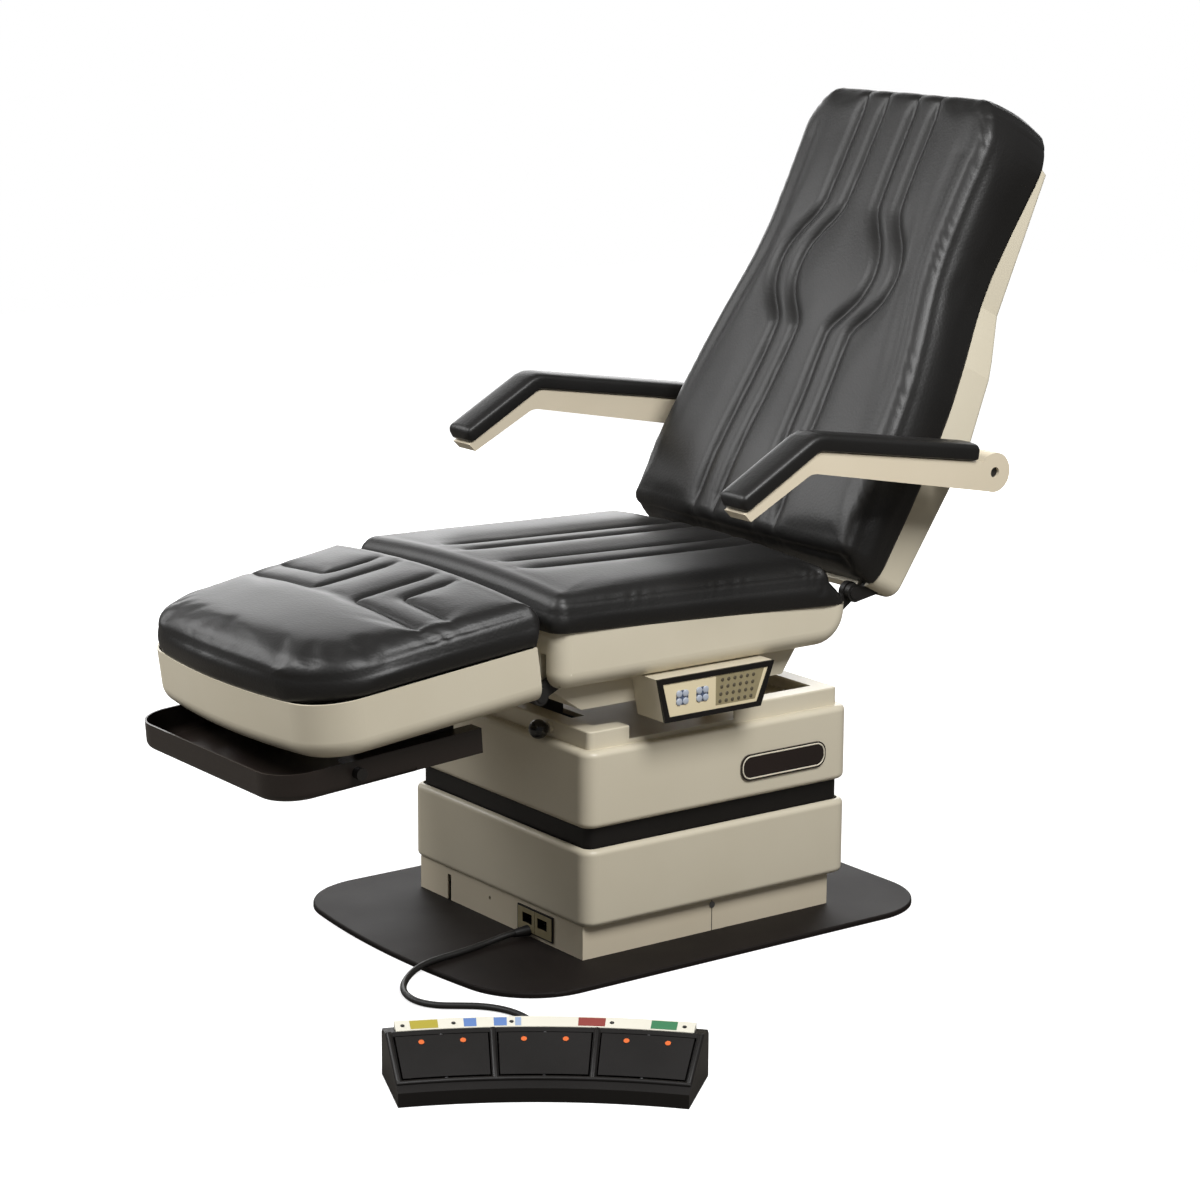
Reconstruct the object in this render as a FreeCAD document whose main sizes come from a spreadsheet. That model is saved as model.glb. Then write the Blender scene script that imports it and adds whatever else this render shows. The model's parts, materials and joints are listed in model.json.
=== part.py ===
import FreeCAD, Part
import math
import os
import Sketcher

# Podiatry chair: a powered treatment chair on a floor plate, in millimetres and degrees.
# +Z is up, the foot end points to -Y and the patient's left side is +X.
# The origin is the middle of the floor plate's underside.

Vec = FreeCAD.Vector
DOC = FreeCAD.newDocument("podiatry_chair")
SHEET = DOC.addObject("Spreadsheet::Sheet", "Sizes")
PIECES = {}
TOLERANCE = 0.01
ACROSS = Vec(1, 0, 0)
UPWARD = Vec(0, 0, 1)

SIZES = {
    # floor plate
    "plate_half": 322, "plate_rear": 430, "plate_front": 395, "plate_bow": 35,
    "plate_thick": 8, "plate_corner": 125, "plate_edge": 3,
    # plinth, split into a front and a rear half
    "plinth_inset": 16, "plinth_front": 216, "plinth_rear": 266, "plinth_top": 61,
    "plinth_wall": 3, "plinth_split": 32, "slot_x": 141, "slot_wide": 10, "slot_top": 50,
    "peep_x": 26, "peep_z": 41, "peep_radius": 3,
    "inlet_x": 101, "inlet_wide": 94, "inlet_low": 14, "inlet_high": 55, "inlet_deep": 26,
    "inlet_flange": 7, "inlet_proud": 2.5, "socket_wide": 26, "socket_deep": 14,
    "screw_radius": 5, "screw_z": 50, "screw_head": 1.5,
    # painted covers
    "cover_half": 240, "cover_front": 222, "cover_rear": 294, "cover_wall": 3,
    "cover_corner": 24, "cover_edge": 9, "lower_top": 183, "upper_low": 216, "upper_top": 336,
    "lip": 13, "ledge_inset": 15, "ledge_top": 364, "ledge_rim": 30, "ledge_edge": 2.5,
    "cover_floor": 5,
    "notch_front": 132, "notch_rear": 71, "notch_low": 343,
    "badge_y": 157, "badge_z": 266, "badge_long": 170, "badge_high": 42, "badge_thick": 3,
    # telescoping shroud between the covers
    "stage_inset": 12, "stage_wall": 2.5, "stage_gap": 4, "stage_top": 323,
    "stage_corner": 14, "rest_gap": 0.3,
    # lift column and ram
    "column_y": 36, "column_half": 80, "column_wall": 6, "slide_gap": 0.5, "column_top": 316,
    "column_step": 4, "ram_radius": 30, "ram_wall": 5.5, "ram_gap": 0.5, "ram_top": 300,
    "ram_step": 8, "ram_floor": 6,
    # drive units that stand on the plate
    "pump_gap": 15, "pump_room": 16, "pump_long": 180, "pump_high": 90, "pump_y": 20,
    "motor_radius": 42, "motor_high": 150, "box_trim": 10, "box_long": 200, "box_high": 120,
    # carriage and seat tilt
    "carriage_low": 325, "carriage_thick": 8, "carriage_seat": 4,
    "tilt_y": 140, "tilt_z": 376, "tilt_radius": 10, "tilt_lug": 20, "ear_in": 94, "ear_thick": 12,
    "ear_foot": 45, "lug_out": 92, "lug_thick": 12, "run_gap": 0.05, "shaft_over": 6,
    "tilt_rod_y": 130, "tilt_pin_z": 328, "tilt_pin_radius": 6, "tilt_slack": 1.5,
    "tilt_slide": 4.2, "tilt_rod_radius": 12, "tilt_tube_radius": 28, "tilt_tube_low": 90,
    "tilt_tube_top": 290, "hanger_in": 45, "hanger_thick": 8, "hanger_half": 30, "hanger_low": 250,
    "cheek_in": 13, "cheek_thick": 6, "cheek_half": 23, "rod_gap": 0.3,
    # release knob on the ledge
    "knob_x": 124, "knob_z": 351, "knob_radius": 15, "stem_radius": 5, "collar_radius": 10,
    "collar_long": 6, "stem_tail": 20,
    # seat shroud, pan and frame
    "shroud_half": 270, "shroud_front": 298, "shroud_over": 8, "shroud_low": 446,
    "shroud_top_front": 536, "shroud_top_rear": 510, "shroud_wall": 3, "shroud_floor": 5, "shroud_side": 14, "shroud_curve": 55,
    "shroud_edge": 27, "floor_half": 200, "floor_front": 236, "floor_rear": 176,
    "pan_half": 220, "pan_low": 400, "pan_front": 286, "pan_front_low": 218, "pan_rear": 200,
    "pan_rear_low": 168, "rail_in": 230, "rail_thick": 10, "rail_high": 494, "plate_six": 6,
    "front_bar": 275, "front_bar_wide": 40, "bar_wide": 70, "lug_space": 1, "pin_over": 2,
    # seat cushion, in its own frame from the front bottom edge
    "seat_half": 278, "seat_front_over": 7, "seat_long": 560, "seat_side": 57, "seat_crown": 15,
    "seat_rise": 9, "seat_rear_slope": 36, "seat_round": 16, "seat_drawn": 5,
    "channel_wide": 9, "channel_deep": 6, "channel_in": 52, "channel_out": 104,
    # control panel on the patient's left
    "panel_out": 284, "panel_front": 127, "panel_rear": 96, "panel_foot_front": 112,
    "panel_foot_rear": 71, "panel_top": 446, "panel_low": 378, "bezel_thick": 5, "bezel_wide": 8,
    "keypad_thick": 3.5,
    # back hinge, back frame, shell and cushion, in the back's own frame from its hinge
    "back_gap": 33, "back_z": 520, "back_angle": 62.8, "back_pin": 10, "back_lug": 16,
    "crank": 45, "crank_pin": 5, "crank_half": 9, "crank_slack": 1.5, "crank_lead": 25,
    "drive_x": 60, "eye_half": 9, "eye_long": 13, "eye_high": 16, "cheek_gap": 2, "crank_thick": 8,
    "drive_radius": 22, "drive_rod": 9, "drive_long": 305, "drive_front": 155, "saddle": 15,
    "back_face": 70, "rim_low": 10, "rim_top": 64, "back_low": 20, "back_lip": 42, "back_top": 814,
    "back_half": 280, "back_corner": 28,
    "back_hip": 277, "hip_z": 252, "rib_half": 258, "rib_z": 402, "waist_half": 227, "waist_z": 506,
    "shoulder_half": 230, "shoulder_z": 747, "crest_half": 196, "back_crown": 11, "back_round": 18, "lens_bow": 46,
    "shell_inset": 8, "shell_low": 15, "shell_top": 770, "shell_rear": 104, "shell_full_low": 300,
    "shell_full_top": 430, "shell_low_rear": 68, "shell_top_rear": 79, "shell_corner": 24, "shell_edge": 8,
    "shell_wall": 8,
    "spine_half": 120, "spine_y": 58, "spine_low": 60, "spine_mid": 220, "spine_top": 660,
    "plate_top": 275, "plate_front_y": 45, "plate_rear_y": 62, "plate_neck": 16,
    "spacer_half": 60, "spacer_low": 320, "spacer_top": 410,
    # armrests
    "arm_set": 165, "arm_z": 714, "arm_in": 336, "arm_out": 384, "arm_boss": 31, "arm_shaft": 12,
    "arm_collar": 26, "arm_collar_in": 276, "arm_hole": 8.5, "arm_wall": 5,
    "bend_y": 97, "bend_top": 782, "bend_low": 751, "rear_top": 732, "tip_y": 43, "tip_top": 703,
    "tip_low": 691, "pad_thick": 27, "pad_over": 6, "pad_round": 9,
    # foot section, in its own frame from its hinge
    "foot_y": 312, "foot_z": 440, "foot_slope": 7.5, "foot_pin": 8, "foot_lug": 13, "foot_rear": 15,
    "foot_side": 370, "foot_bow": 26, "foot_half": 278, "foot_half_front": 254, "foot_corner": 85,
    "foot_low": 0, "foot_rim": 86, "foot_edge": 28, "frame_half": 222, "frame_bar": 50, "foot_wall": 3, "foot_crank_lead": 26,
    "foot_cushion": 58, "foot_crown": 17, "foot_round": 16, "chevron_reach": 165, "chevron_side": 225,
    # tray under the foot section, in its own frame from the rear of its rim
    "tray_y": 395, "tray_z": 399, "tray_slope": 4, "tray_half": 217, "tray_long": 345,
    "tray_high": 42, "tray_wall": 3, "tray_corner": 60, "tray_edge": 12, "basin_rear": 112,
    "rail_wide": 12, "rail_deep": 38, "flange_wide": 15, "flange_thick": 4, "flange_long": 230,
    "runner_web": 4, "runner_long": 170, "runner_rear": 30, "runner_high": 40,
    "lock_y": 215, "lock_z": 18, "lock_radius": 9, "lock_long": 13, "lock_stem": 4,
    # foot control on the floor, swept about a centre in front of it
    "control_x": 590, "control_y": -545, "control_turn": 53.8, "control_outer": 960,
    "control_rear": 62, "control_deep": 128, "control_high": 70, "control_back": 62,
    "control_strip": 28, "control_lip": 20, "control_nose": 14, "control_step": 6,
    "control_half_angle": 13.55, "rib_angle": 0.6, "well_deep": 20, "well_rim": 8, "pedal_gap": 2.5,
    "pedal_thick": 7, "pedal_proud": 1.5, "pivot_radius": 3, "pivot_deep": 3, "pivot_long": 10,
    "lens_radius": 4, "lens_proud": 0.8, "lens_up": 15, "lens_angle": 1.8, "label_thick": 1,
    # foot control cord
    "cord_radius": 5, "gland_radius": 9, "gland_tip": 6, "gland_long": 30, "gland_x": 83, "gland_z": 18,
    "relief_angle": 2, "relief_z": 22, "relief_long": 35, "cord_lead": 16,
}

# Sizes that follow others: each is the sum of the named ones, with a minus before those taken off.
TIED = {
    "plinth_half": ["cover_half", "-plinth_inset"],
    "pump_wide": ["plinth_half", "-plinth_wall", "-pump_room", "-column_half", "-pump_gap"],
    "box_wide": ["pump_wide", "-box_trim"],
    "shroud_rear": ["seat_long", "-shroud_front", "-seat_front_over", "shroud_over"],
    "back_y": ["seat_long", "-shroud_front", "-seat_front_over", "back_gap"],
    "arm_y": ["back_y", "arm_set"],
}

# The cord's route from the plinth to the foot control, chosen by hand along the floor.
CORD_ROUTE = [
    (83, -246, 18), (83, -260, 18), (85.5, -290, 14.6), (90, -318, 13.3), (97, -352, 13.2), (102, -386, 13.3),
    (108, -420, 13.4), (119, -452, 11), (139, -481, 6.6), (166, -503, 5.2), (197, -515, 5.2),
    (229, -515, 5.2), (256, -500, 5.2), (275, -474, 5.2), (295, -449, 5.2), (321, -432, 5.2),
    (351, -424, 5.2), (383, -425, 5.2), (412, -437, 6.4), (436, -459, 10.5), (457, -486, 17),
]


class Size:
    """A number together with the sheet expression that gives it."""

    def __init__(self, number, text):
        self.number = float(number)
        self.text = text

    def __add__(self, other):
        other = size_of(other)
        return Size(self.number + other.number, f"({self.text} + {other.text})")

    def __sub__(self, other):
        other = size_of(other)
        return Size(self.number - other.number, f"({self.text} - {other.text})")

    def __mul__(self, other):
        other = size_of(other)
        return Size(self.number * other.number, f"({self.text} * {other.text})")

    def __truediv__(self, other):
        other = size_of(other)
        return Size(self.number / other.number, f"({self.text} / {other.text})")

    def __rsub__(self, other):
        return size_of(other) - self

    def __neg__(self):
        return Size(-self.number, f"(-1 * {self.text})")


def size_of(item):
    """The item as a Size, so that plain numbers and sheet sizes mix."""
    if isinstance(item, Size):
        return item
    return Size(item, f"({item})")


class SheetSizes:
    """Every driving dimension of the sheet, by its alias."""

    def __init__(self, sizes, tied):
        self.rows = 0
        for alias, number in sizes.items():
            self.enter(alias, str(number), number)
        for alias, terms in tied.items():
            names = [term.lstrip("-") for term in terms]
            signs = [-1 if term.startswith("-") else 1 for term in terms]
            number = sum(sign * getattr(self, name).number for sign, name in zip(signs, names))
            formula = " ".join(f"{'-' if sign < 0 else '+'} {name}" for sign, name in zip(signs, names))
            self.enter(alias, f"=0 {formula}", number)

    def enter(self, alias, cell, number):
        """Write one size to the sheet and keep it under its alias."""
        self.rows += 1
        SHEET.set(f"A{self.rows}", alias)
        SHEET.set(f"B{self.rows}", cell)
        SHEET.setAlias(f"B{self.rows}", alias)
        setattr(self, alias, Size(number, f"Sizes.{alias}"))


S = SheetSizes(SIZES, TIED)
DOC.recompute()


def mm(size):
    """The plain number of a size."""
    return size_of(size).number


# Bodies made of sketches, pads and pockets

PLANES = {"x": "YZ_Plane", "y": "XZ_Plane", "z": "XY_Plane"}


def new_body(label):
    """An empty body that becomes one named piece."""
    body = DOC.addObject("PartDesign::Body", label)
    body.Label = label
    PIECES[label] = body
    return body


def sketch_on(body, axis, low, high):
    """A sketch square to an axis, at the end from which a feature runs along the plane's normal."""
    sketch = body.newObject("Sketcher::SketchObject", "Outline")
    plane = next(item for item in body.Origin.OriginFeatures if item.Role == PLANES[axis])
    sketch.AttachmentSupport = [(plane, "")]
    sketch.MapMode = "FlatFace"
    level = -size_of(high) if axis == "y" else size_of(low)
    sketch.setExpression("AttachmentOffset.Base.z", level.text)
    return sketch


def bind(sketch, kind, geometry, point, size):
    """Hold one coordinate of a sketch point at a size."""
    rule = sketch.addConstraint(Sketcher.Constraint(kind, -1, 1, geometry, point, size.number))
    sketch.setExpression(f"Constraints[{rule}]", size.text)


def draw_corners(sketch, corners):
    """A closed outline; a corner's third entry bows the edge that leaves it by that rise."""
    places = [(size_of(corner[0]), size_of(corner[1])) for corner in corners]
    points = [Vec(x.number, y.number, 0) for x, y in places]
    ends = []
    for here, corner in enumerate(corners):
        there = (here + 1) % len(corners)
        start, end = points[here], points[there]
        if len(corner) < 3:
            sketch.addGeometry(Part.LineSegment(start, end))
            ends.append((1, 2))
            continue
        rise = size_of(corner[2])
        chord = end - start
        outward = Vec(chord.y, -chord.x, 0).normalize()
        middle = (start + end) * 0.5 + outward * rise.number
        forward = rise.number > 0
        sketch.addGeometry(Part.Arc(start, middle, end) if forward else Part.Arc(end, middle, start))
        ends.append((1, 2) if forward else (2, 1))
        wide = places[there][0] - places[here][0]
        tall = places[there][1] - places[here][1]
        bow = rise if forward else -rise
        radius = (wide * wide + tall * tall) / (bow * 8) + bow / 2
        rule = sketch.addConstraint(Sketcher.Constraint("Radius", here, radius.number))
        sketch.setExpression(f"Constraints[{rule}]", radius.text)
    for here in range(len(corners)):
        there = (here + 1) % len(corners)
        sketch.addConstraint(Sketcher.Constraint("Coincident", here, ends[here][1], there, ends[there][0]))
    for here, (x, y) in enumerate(places):
        bind(sketch, "DistanceX", here, ends[here][0], x)
        bind(sketch, "DistanceY", here, ends[here][0], y)


def draw_circle(sketch, centre, radius):
    """A circle held by its centre and radius."""
    x, y = size_of(centre[0]), size_of(centre[1])
    radius = size_of(radius)
    sketch.addGeometry(Part.Circle(Vec(x.number, y.number, 0), UPWARD, radius.number))
    bind(sketch, "DistanceX", 0, 3, x)
    bind(sketch, "DistanceY", 0, 3, y)
    rule = sketch.addConstraint(Sketcher.Constraint("Radius", 0, radius.number))
    sketch.setExpression(f"Constraints[{rule}]", radius.text)


def finish_feature(body, kind, sketch, low, high):
    """Run a pad or a pocket from the sketch along its plane's normal."""
    feature = body.newObject(f"PartDesign::{kind}", kind)
    feature.Profile = sketch
    feature.setExpression("Length", (size_of(high) - low).text)
    if kind == "Pocket":
        feature.Reversed = True
    DOC.recompute()
    return feature


def pad(body, axis, corners, low, high):
    """Add an outline, extruded along an axis from low to high."""
    sketch = sketch_on(body, axis, low, high)
    draw_corners(sketch, corners)
    return finish_feature(body, "Pad", sketch, low, high)


def pocket(body, axis, corners, low, high):
    """Cut an outline along an axis from low to high."""
    sketch = sketch_on(body, axis, low, high)
    draw_corners(sketch, corners)
    return finish_feature(body, "Pocket", sketch, low, high)


def pad_round(body, axis, centre, radius, low, high):
    """Add a cylinder along an axis from low to high."""
    sketch = sketch_on(body, axis, low, high)
    draw_circle(sketch, centre, radius)
    return finish_feature(body, "Pad", sketch, low, high)


def bore(body, axis, centre, radius, low, high):
    """Cut a cylinder along an axis from low to high."""
    sketch = sketch_on(body, axis, low, high)
    draw_circle(sketch, centre, radius)
    return finish_feature(body, "Pocket", sketch, low, high)


def rectangle(left, right, low, high):
    """The four corners of a rectangle."""
    return [(left, low), (right, low), (right, high), (left, high)]


def rounded(left, right, low, high, radius):
    """The corners of a rectangle whose own corners are arcs of one radius."""
    rise = radius * (1 - math.sqrt(0.5))
    return [(left + radius, low), (right - radius, low, rise), (right, low + radius),
            (right, high - radius, rise), (right - radius, high), (left + radius, high, rise),
            (left, high - radius), (left, low + radius, rise)]


def round_edges(body, radius, wanted):
    """Fillet every edge of the body that passes a test."""
    base = body.Tip
    edges = enumerate(base.Shape.Edges, start=1)
    names = [f"Edge{number}" for number, edge in edges if wanted(edge)]
    fillet = body.newObject("PartDesign::Fillet", "Fillet")
    fillet.Base = (base, names)
    fillet.setExpression("Radius", radius.text)
    DOC.recompute()


def hollow(body, wall, opened):
    """Shell the body inwards, open at each face that passes a test."""
    base = body.Tip
    faces = enumerate(base.Shape.Faces, start=1)
    names = [f"Face{number}" for number, face in faces if opened(face)]
    shell = body.newObject("PartDesign::Thickness", "Thickness")
    shell.Base = (base, names)
    shell.setExpression("Value", wall.text)
    shell.Reversed = True
    DOC.recompute()


def runs_along(edge, axis):
    """Whether an edge is straight along an axis."""
    box = edge.BoundBox
    lengths = {"x": box.XLength, "y": box.YLength, "z": box.ZLength}
    return all((length > TOLERANCE) == (name == axis) for name, length in lengths.items())


def upright(edge):
    """Whether an edge is straight and vertical."""
    return runs_along(edge, "z")


def lies_at(shape, level):
    """Whether a face or edge lies flat at a height."""
    box = shape.BoundBox
    return abs(box.ZMin - mm(level)) < TOLERANCE and abs(box.ZMax - mm(level)) < TOLERANCE


def faces_y(face, level):
    """Whether a face lies square to Y at a place."""
    box = face.BoundBox
    return abs(box.YMin - mm(level)) < TOLERANCE and abs(box.YMax - mm(level)) < TOLERANCE


def span(side, inner, outer):
    """The low and high X of something between two distances from the middle, on one side."""
    if side > 0:
        return size_of(inner), size_of(outer)
    return -size_of(outer), -size_of(inner)


# Primitives and booleans

def box(name, x, y, z):
    """A block between pairs of low and high coordinates."""
    block = DOC.addObject("Part::Box", name)
    for prop, direction, (low, high) in (("Length", "x", x), ("Width", "y", y), ("Height", "z", z)):
        block.setExpression(prop, (size_of(high) - low).text)
        block.setExpression(f"Placement.Base.{direction}", size_of(low).text)
    return block


TURNS = {"x": (Vec(0, 1, 0), 90), "y": (Vec(1, 0, 0), -90), "z": (UPWARD, 0)}


def rod(name, axis, centre, radius, low, high, tip=None):
    """A cylinder along an axis, or a cone where a tip radius is given."""
    kind = "Part::Cylinder" if tip is None else "Part::Cone"
    shaft = DOC.addObject(kind, name)
    shaft.setExpression("Radius" if tip is None else "Radius1", size_of(radius).text)
    if tip is not None:
        shaft.setExpression("Radius2", size_of(tip).text)
    shaft.setExpression("Height", (size_of(high) - low).text)
    shaft.Placement = FreeCAD.Placement(Vec(), FreeCAD.Rotation(*TURNS[axis]))
    places = dict(zip([name for name in "xyz" if name != axis], centre))
    places[axis] = low
    for direction, place in places.items():
        shaft.setExpression(f"Placement.Base.{direction}", size_of(place).text)
    return shaft


def boolean(kind, name, base, tool):
    """A Cut, Fuse or Common of two objects."""
    result = DOC.addObject(f"Part::{kind}", name)
    result.Base = base
    result.Tool = tool
    return result


def group(name, items):
    """Separate solids kept together as one piece."""
    compound = DOC.addObject("Part::Compound", name)
    compound.Links = items
    return compound


def piece(label, item):
    """Name a finished object as one piece."""
    item.Label = label
    PIECES[label] = item
    DOC.recompute()
    return item


def shaped_piece(label, shape, placement=None):
    """A piece whose shape is worked out directly, then placed."""
    item = DOC.addObject("Part::Feature", label)
    item.Shape = shape
    if placement is not None:
        item.Placement = placement
    return piece(label, item)


def place(item, placement):
    """Move a finished piece from its own frame into the chair."""
    item.Placement = placement
    DOC.recompute()
    return item


def frame_at(y, z, turn):
    """A frame hinged about X at a point of the chair's middle plane."""
    return FreeCAD.Placement(Vec(0, mm(y), mm(z)), FreeCAD.Rotation(ACROSS, turn))


BACK_FRAME = frame_at(S.back_y, S.back_z, mm(S.back_angle) - 90)
FOOT_FRAME = frame_at(-S.foot_y, S.foot_z, mm(S.foot_slope))
TRAY_FRAME = frame_at(-S.tray_y, S.tray_z, mm(S.tray_slope))


# Base: floor plate, plinth, lower cover and what stands inside

def base_plate():
    """Flat steel plate with a bowed front edge and rounded corners."""
    body = new_body("base_plate")
    corners = [(-S.plate_half, -S.plate_front, S.plate_bow), (S.plate_half, -S.plate_front),
               (S.plate_half, S.plate_rear), (-S.plate_half, S.plate_rear)]
    pad(body, "z", corners, 0, S.plate_thick)
    round_edges(body, S.plate_corner, upright)
    round_edges(body, S.plate_edge, lambda edge: lies_at(edge, S.plate_thick))


def plinth_half_shell(label, end, split, sense):
    """Folded sheet of the plinth: an end wall and two side walls up to the split."""
    body = new_body(label)
    half, wall = S.plinth_half, S.plinth_wall
    inner_end = end - wall * sense
    corners = [(-half, end), (half, end), (half, split), (half - wall, split),
               (half - wall, inner_end), (wall - half, inner_end), (wall - half, split), (-half, split)]
    pad(body, "z", corners, S.plate_thick, S.plinth_top)
    return body


def plinth():
    """Both plinth halves, with the front one's openings, and the screws at the split."""
    front = plinth_half_shell("plinth_front", -S.plinth_front, S.plinth_split, -1)
    wall = (-S.plinth_front - 1, S.plinth_wall - S.plinth_front + 1)
    slot = rectangle(-S.slot_x - S.slot_wide / 2, S.slot_wide / 2 - S.slot_x, S.plate_thick, S.slot_top)
    pocket(front, "y", slot, *wall)
    bore(front, "y", (-S.peep_x, S.peep_z), S.peep_radius, *wall)
    left, right = inlet_sides(S.inlet_flange)
    opening = rectangle(left, right, S.inlet_low + S.inlet_flange, S.inlet_high - S.inlet_flange)
    pocket(front, "y", opening, *wall)
    plinth_half_shell("plinth_rear", S.plinth_rear, S.plinth_split, 1)
    heads = []
    for side in (1, -1):
        low, high = span(side, S.plinth_half, S.plinth_half + S.screw_head)
        heads.append(rod("head", "x", (S.plinth_split, S.screw_z), S.screw_radius, low, high))
    piece("plinth_screws", group("screws", heads))


def inlet_sides(inset):
    """Left and right edges of the power inlet, drawn in by an inset."""
    left = S.inlet_x - S.inlet_wide / 2 + inset
    right = S.inlet_x + S.inlet_wide / 2 - inset
    return left, right


def power_inlet():
    """Flanged inlet with two socket recesses in the plinth's front wall."""
    body = new_body("power_inlet")
    front = -S.plinth_front
    left, right = inlet_sides(0)
    pad(body, "y", rectangle(left, right, S.inlet_low, S.inlet_high), front - S.inlet_proud, front)
    inner_left, inner_right = inlet_sides(S.inlet_flange)
    low, high = S.inlet_low + S.inlet_flange, S.inlet_high - S.inlet_flange
    pad(body, "y", rectangle(inner_left, inner_right, low, high), front, front + S.inlet_deep)
    for start in (inner_left + S.inlet_flange, inner_right - S.inlet_flange - S.socket_wide):
        recess = rectangle(start, start + S.socket_wide, low + 8, high - 3)
        pocket(body, "y", recess, front - S.inlet_proud - 1, front + S.socket_deep)


def cover_outline(inset):
    """Plan of the painted covers, drawn in by an inset."""
    half = S.cover_half - inset
    return rectangle(-half, half, inset - S.cover_front, S.cover_rear - inset)


def cover_plan(inset):
    """Plan of the painted covers with rounded corners that shrink with the inset."""
    half = S.cover_half - inset
    return rounded(-half, half, inset - S.cover_front, S.cover_rear - inset, S.cover_corner - inset)


def lower_cover():
    """Open-topped painted cover with a lip that sits on the plinth."""
    body = new_body("lower_cover")
    floor = S.plinth_top + S.cover_floor
    pad(body, "z", cover_plan(size_of(0)), S.plinth_top, S.lower_top)
    round_edges(body, S.cover_edge, lambda edge: lies_at(edge, S.plinth_top) or lies_at(edge, S.lower_top))
    pocket(body, "z", cover_plan(S.cover_edge), floor, S.lower_top + 1)
    pocket(body, "z", cover_plan(S.cover_wall), floor, S.lower_top - S.cover_edge)
    half = S.plinth_half - S.lip
    opening = rectangle(-half, half, S.lip - S.plinth_front, S.plinth_rear - S.lip)
    pocket(body, "z", opening, S.plinth_top - 1, floor + 1)


def upper_cover():
    """Painted cover with a raised ledge, a wide top opening and a notch under the control panel."""
    body = new_body("upper_cover")
    pad(body, "z", cover_plan(size_of(0)), S.upper_low, S.upper_top)
    round_edges(body, S.cover_edge, lambda edge: lies_at(edge, S.upper_low) or lies_at(edge, S.upper_top))
    pad(body, "z", cover_plan(S.ledge_inset), S.upper_top - S.cover_wall, S.ledge_top)
    round_edges(body, S.ledge_edge, lambda edge: lies_at(edge, S.ledge_top))
    pocket(body, "z", cover_plan(S.cover_edge), S.upper_low - 1, S.upper_top - S.cover_wall)
    pocket(body, "z", cover_plan(S.cover_wall), S.upper_low + S.cover_edge, S.upper_top - S.cover_edge)
    pocket(body, "z", cover_plan(S.ledge_inset + S.cover_wall), S.upper_low, S.ledge_top - S.cover_wall)
    opening = cover_outline(S.ledge_inset + S.ledge_rim)
    pocket(body, "z", opening, S.ledge_top - S.cover_wall - 1, S.ledge_top + 1)
    notch_in = S.cover_half - S.ledge_inset - S.ledge_rim
    notch = rectangle(-S.notch_front, S.notch_rear, S.notch_low, S.ledge_top + 1)
    pocket(body, "x", notch, notch_in, S.cover_half)
    face = S.ledge_inset - S.cover_front
    collar = (face - S.collar_long, face + S.cover_wall)
    pad_round(body, "y", (S.knob_x, S.knob_z), S.collar_radius, *collar)
    bore(body, "y", (S.knob_x, S.knob_z), S.stem_radius + S.run_gap, *collar)


def shroud_stage(label, inset):
    """Open rectangular sleeve of the telescoping shroud."""
    body = new_body(label)
    low = S.plinth_top + S.cover_floor + S.rest_gap
    pad(body, "z", cover_outline(inset), low, S.stage_top)
    round_edges(body, S.stage_corner, upright)
    hollow(body, S.stage_wall, lambda face: lies_at(face, low) or lies_at(face, S.stage_top))


def square_tube(half, low, high):
    """One tube of the lift column."""
    inner = half - S.column_wall
    outside = box("outside", (-half, half), (S.column_y - half, S.column_y + half), (low, high))
    inside = box("inside", (-inner, inner), (S.column_y - inner, S.column_y + inner), (low - 1, high + 1))
    return boolean("Cut", "tube", outside, inside)


def lift_column():
    """Three nested tubes and a two-stage ram: outer on the plate, inner on the carriage."""
    step = S.column_wall + S.slide_gap
    low = S.plate_thick + S.rest_gap
    barrel, sleeve, plunger = lift_ram()
    outer = square_tube(S.column_half, S.plate_thick, S.column_top)
    middle = square_tube(S.column_half - step, low, S.column_top + S.column_step)
    inner = square_tube(S.column_half - step * 2, low, S.carriage_low)
    piece("lift_outer", group("outer", [outer, barrel]))
    piece("lift_middle", group("middle", [middle, sleeve]))
    piece("lift_inner", group("inner", [inner, plunger]))


def lift_ram():
    """Barrel, sleeve and plunger of the ram in the middle of the column."""
    centre = (0, S.column_y)
    floor = S.plate_thick + S.ram_floor
    inner = S.ram_radius - S.ram_wall
    barrel = rod("barrel", "z", centre, S.ram_radius, S.plate_thick, S.ram_top)
    barrel = boolean("Cut", "ram", barrel, rod("bore", "z", centre, inner, floor, S.ram_top + 1))
    sleeve_radius = inner - S.ram_gap
    sleeve_inner = sleeve_radius - S.ram_wall
    low = floor + S.rest_gap
    sleeve = rod("sleeve", "z", centre, sleeve_radius, low, S.ram_top + S.ram_step)
    hole = rod("bore", "z", centre, sleeve_inner, low + S.ram_floor, S.ram_top + S.ram_step + 1)
    start = low + S.ram_floor + S.rest_gap
    plunger = rod("plunger", "z", centre, sleeve_inner - S.ram_gap, start, S.carriage_low)
    return barrel, boolean("Cut", "ram", sleeve, hole), plunger


def drive_units():
    """Pump with its motor on one side of the column, control box on the other."""
    low = S.plate_thick
    top = low + S.pump_high
    middle = S.column_half + S.pump_gap + S.pump_wide / 2
    x = (-middle - S.pump_wide / 2, S.pump_wide / 2 - middle)
    y = (S.pump_y - S.pump_long / 2, S.pump_y + S.pump_long / 2)
    tank = box("tank", x, y, (low, top))
    motor = rod("motor", "z", (-middle, S.pump_y), S.motor_radius, top, top + S.motor_high)
    piece("pump_unit", boolean("Fuse", "pump", tank, motor))
    x = (middle - S.box_wide / 2, middle + S.box_wide / 2)
    y = (S.pump_y - S.box_long / 2, S.pump_y + S.box_long / 2)
    piece("control_box", box("electronics", x, y, (low, low + S.box_high)))


# Carriage: what rises with the lift

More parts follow.
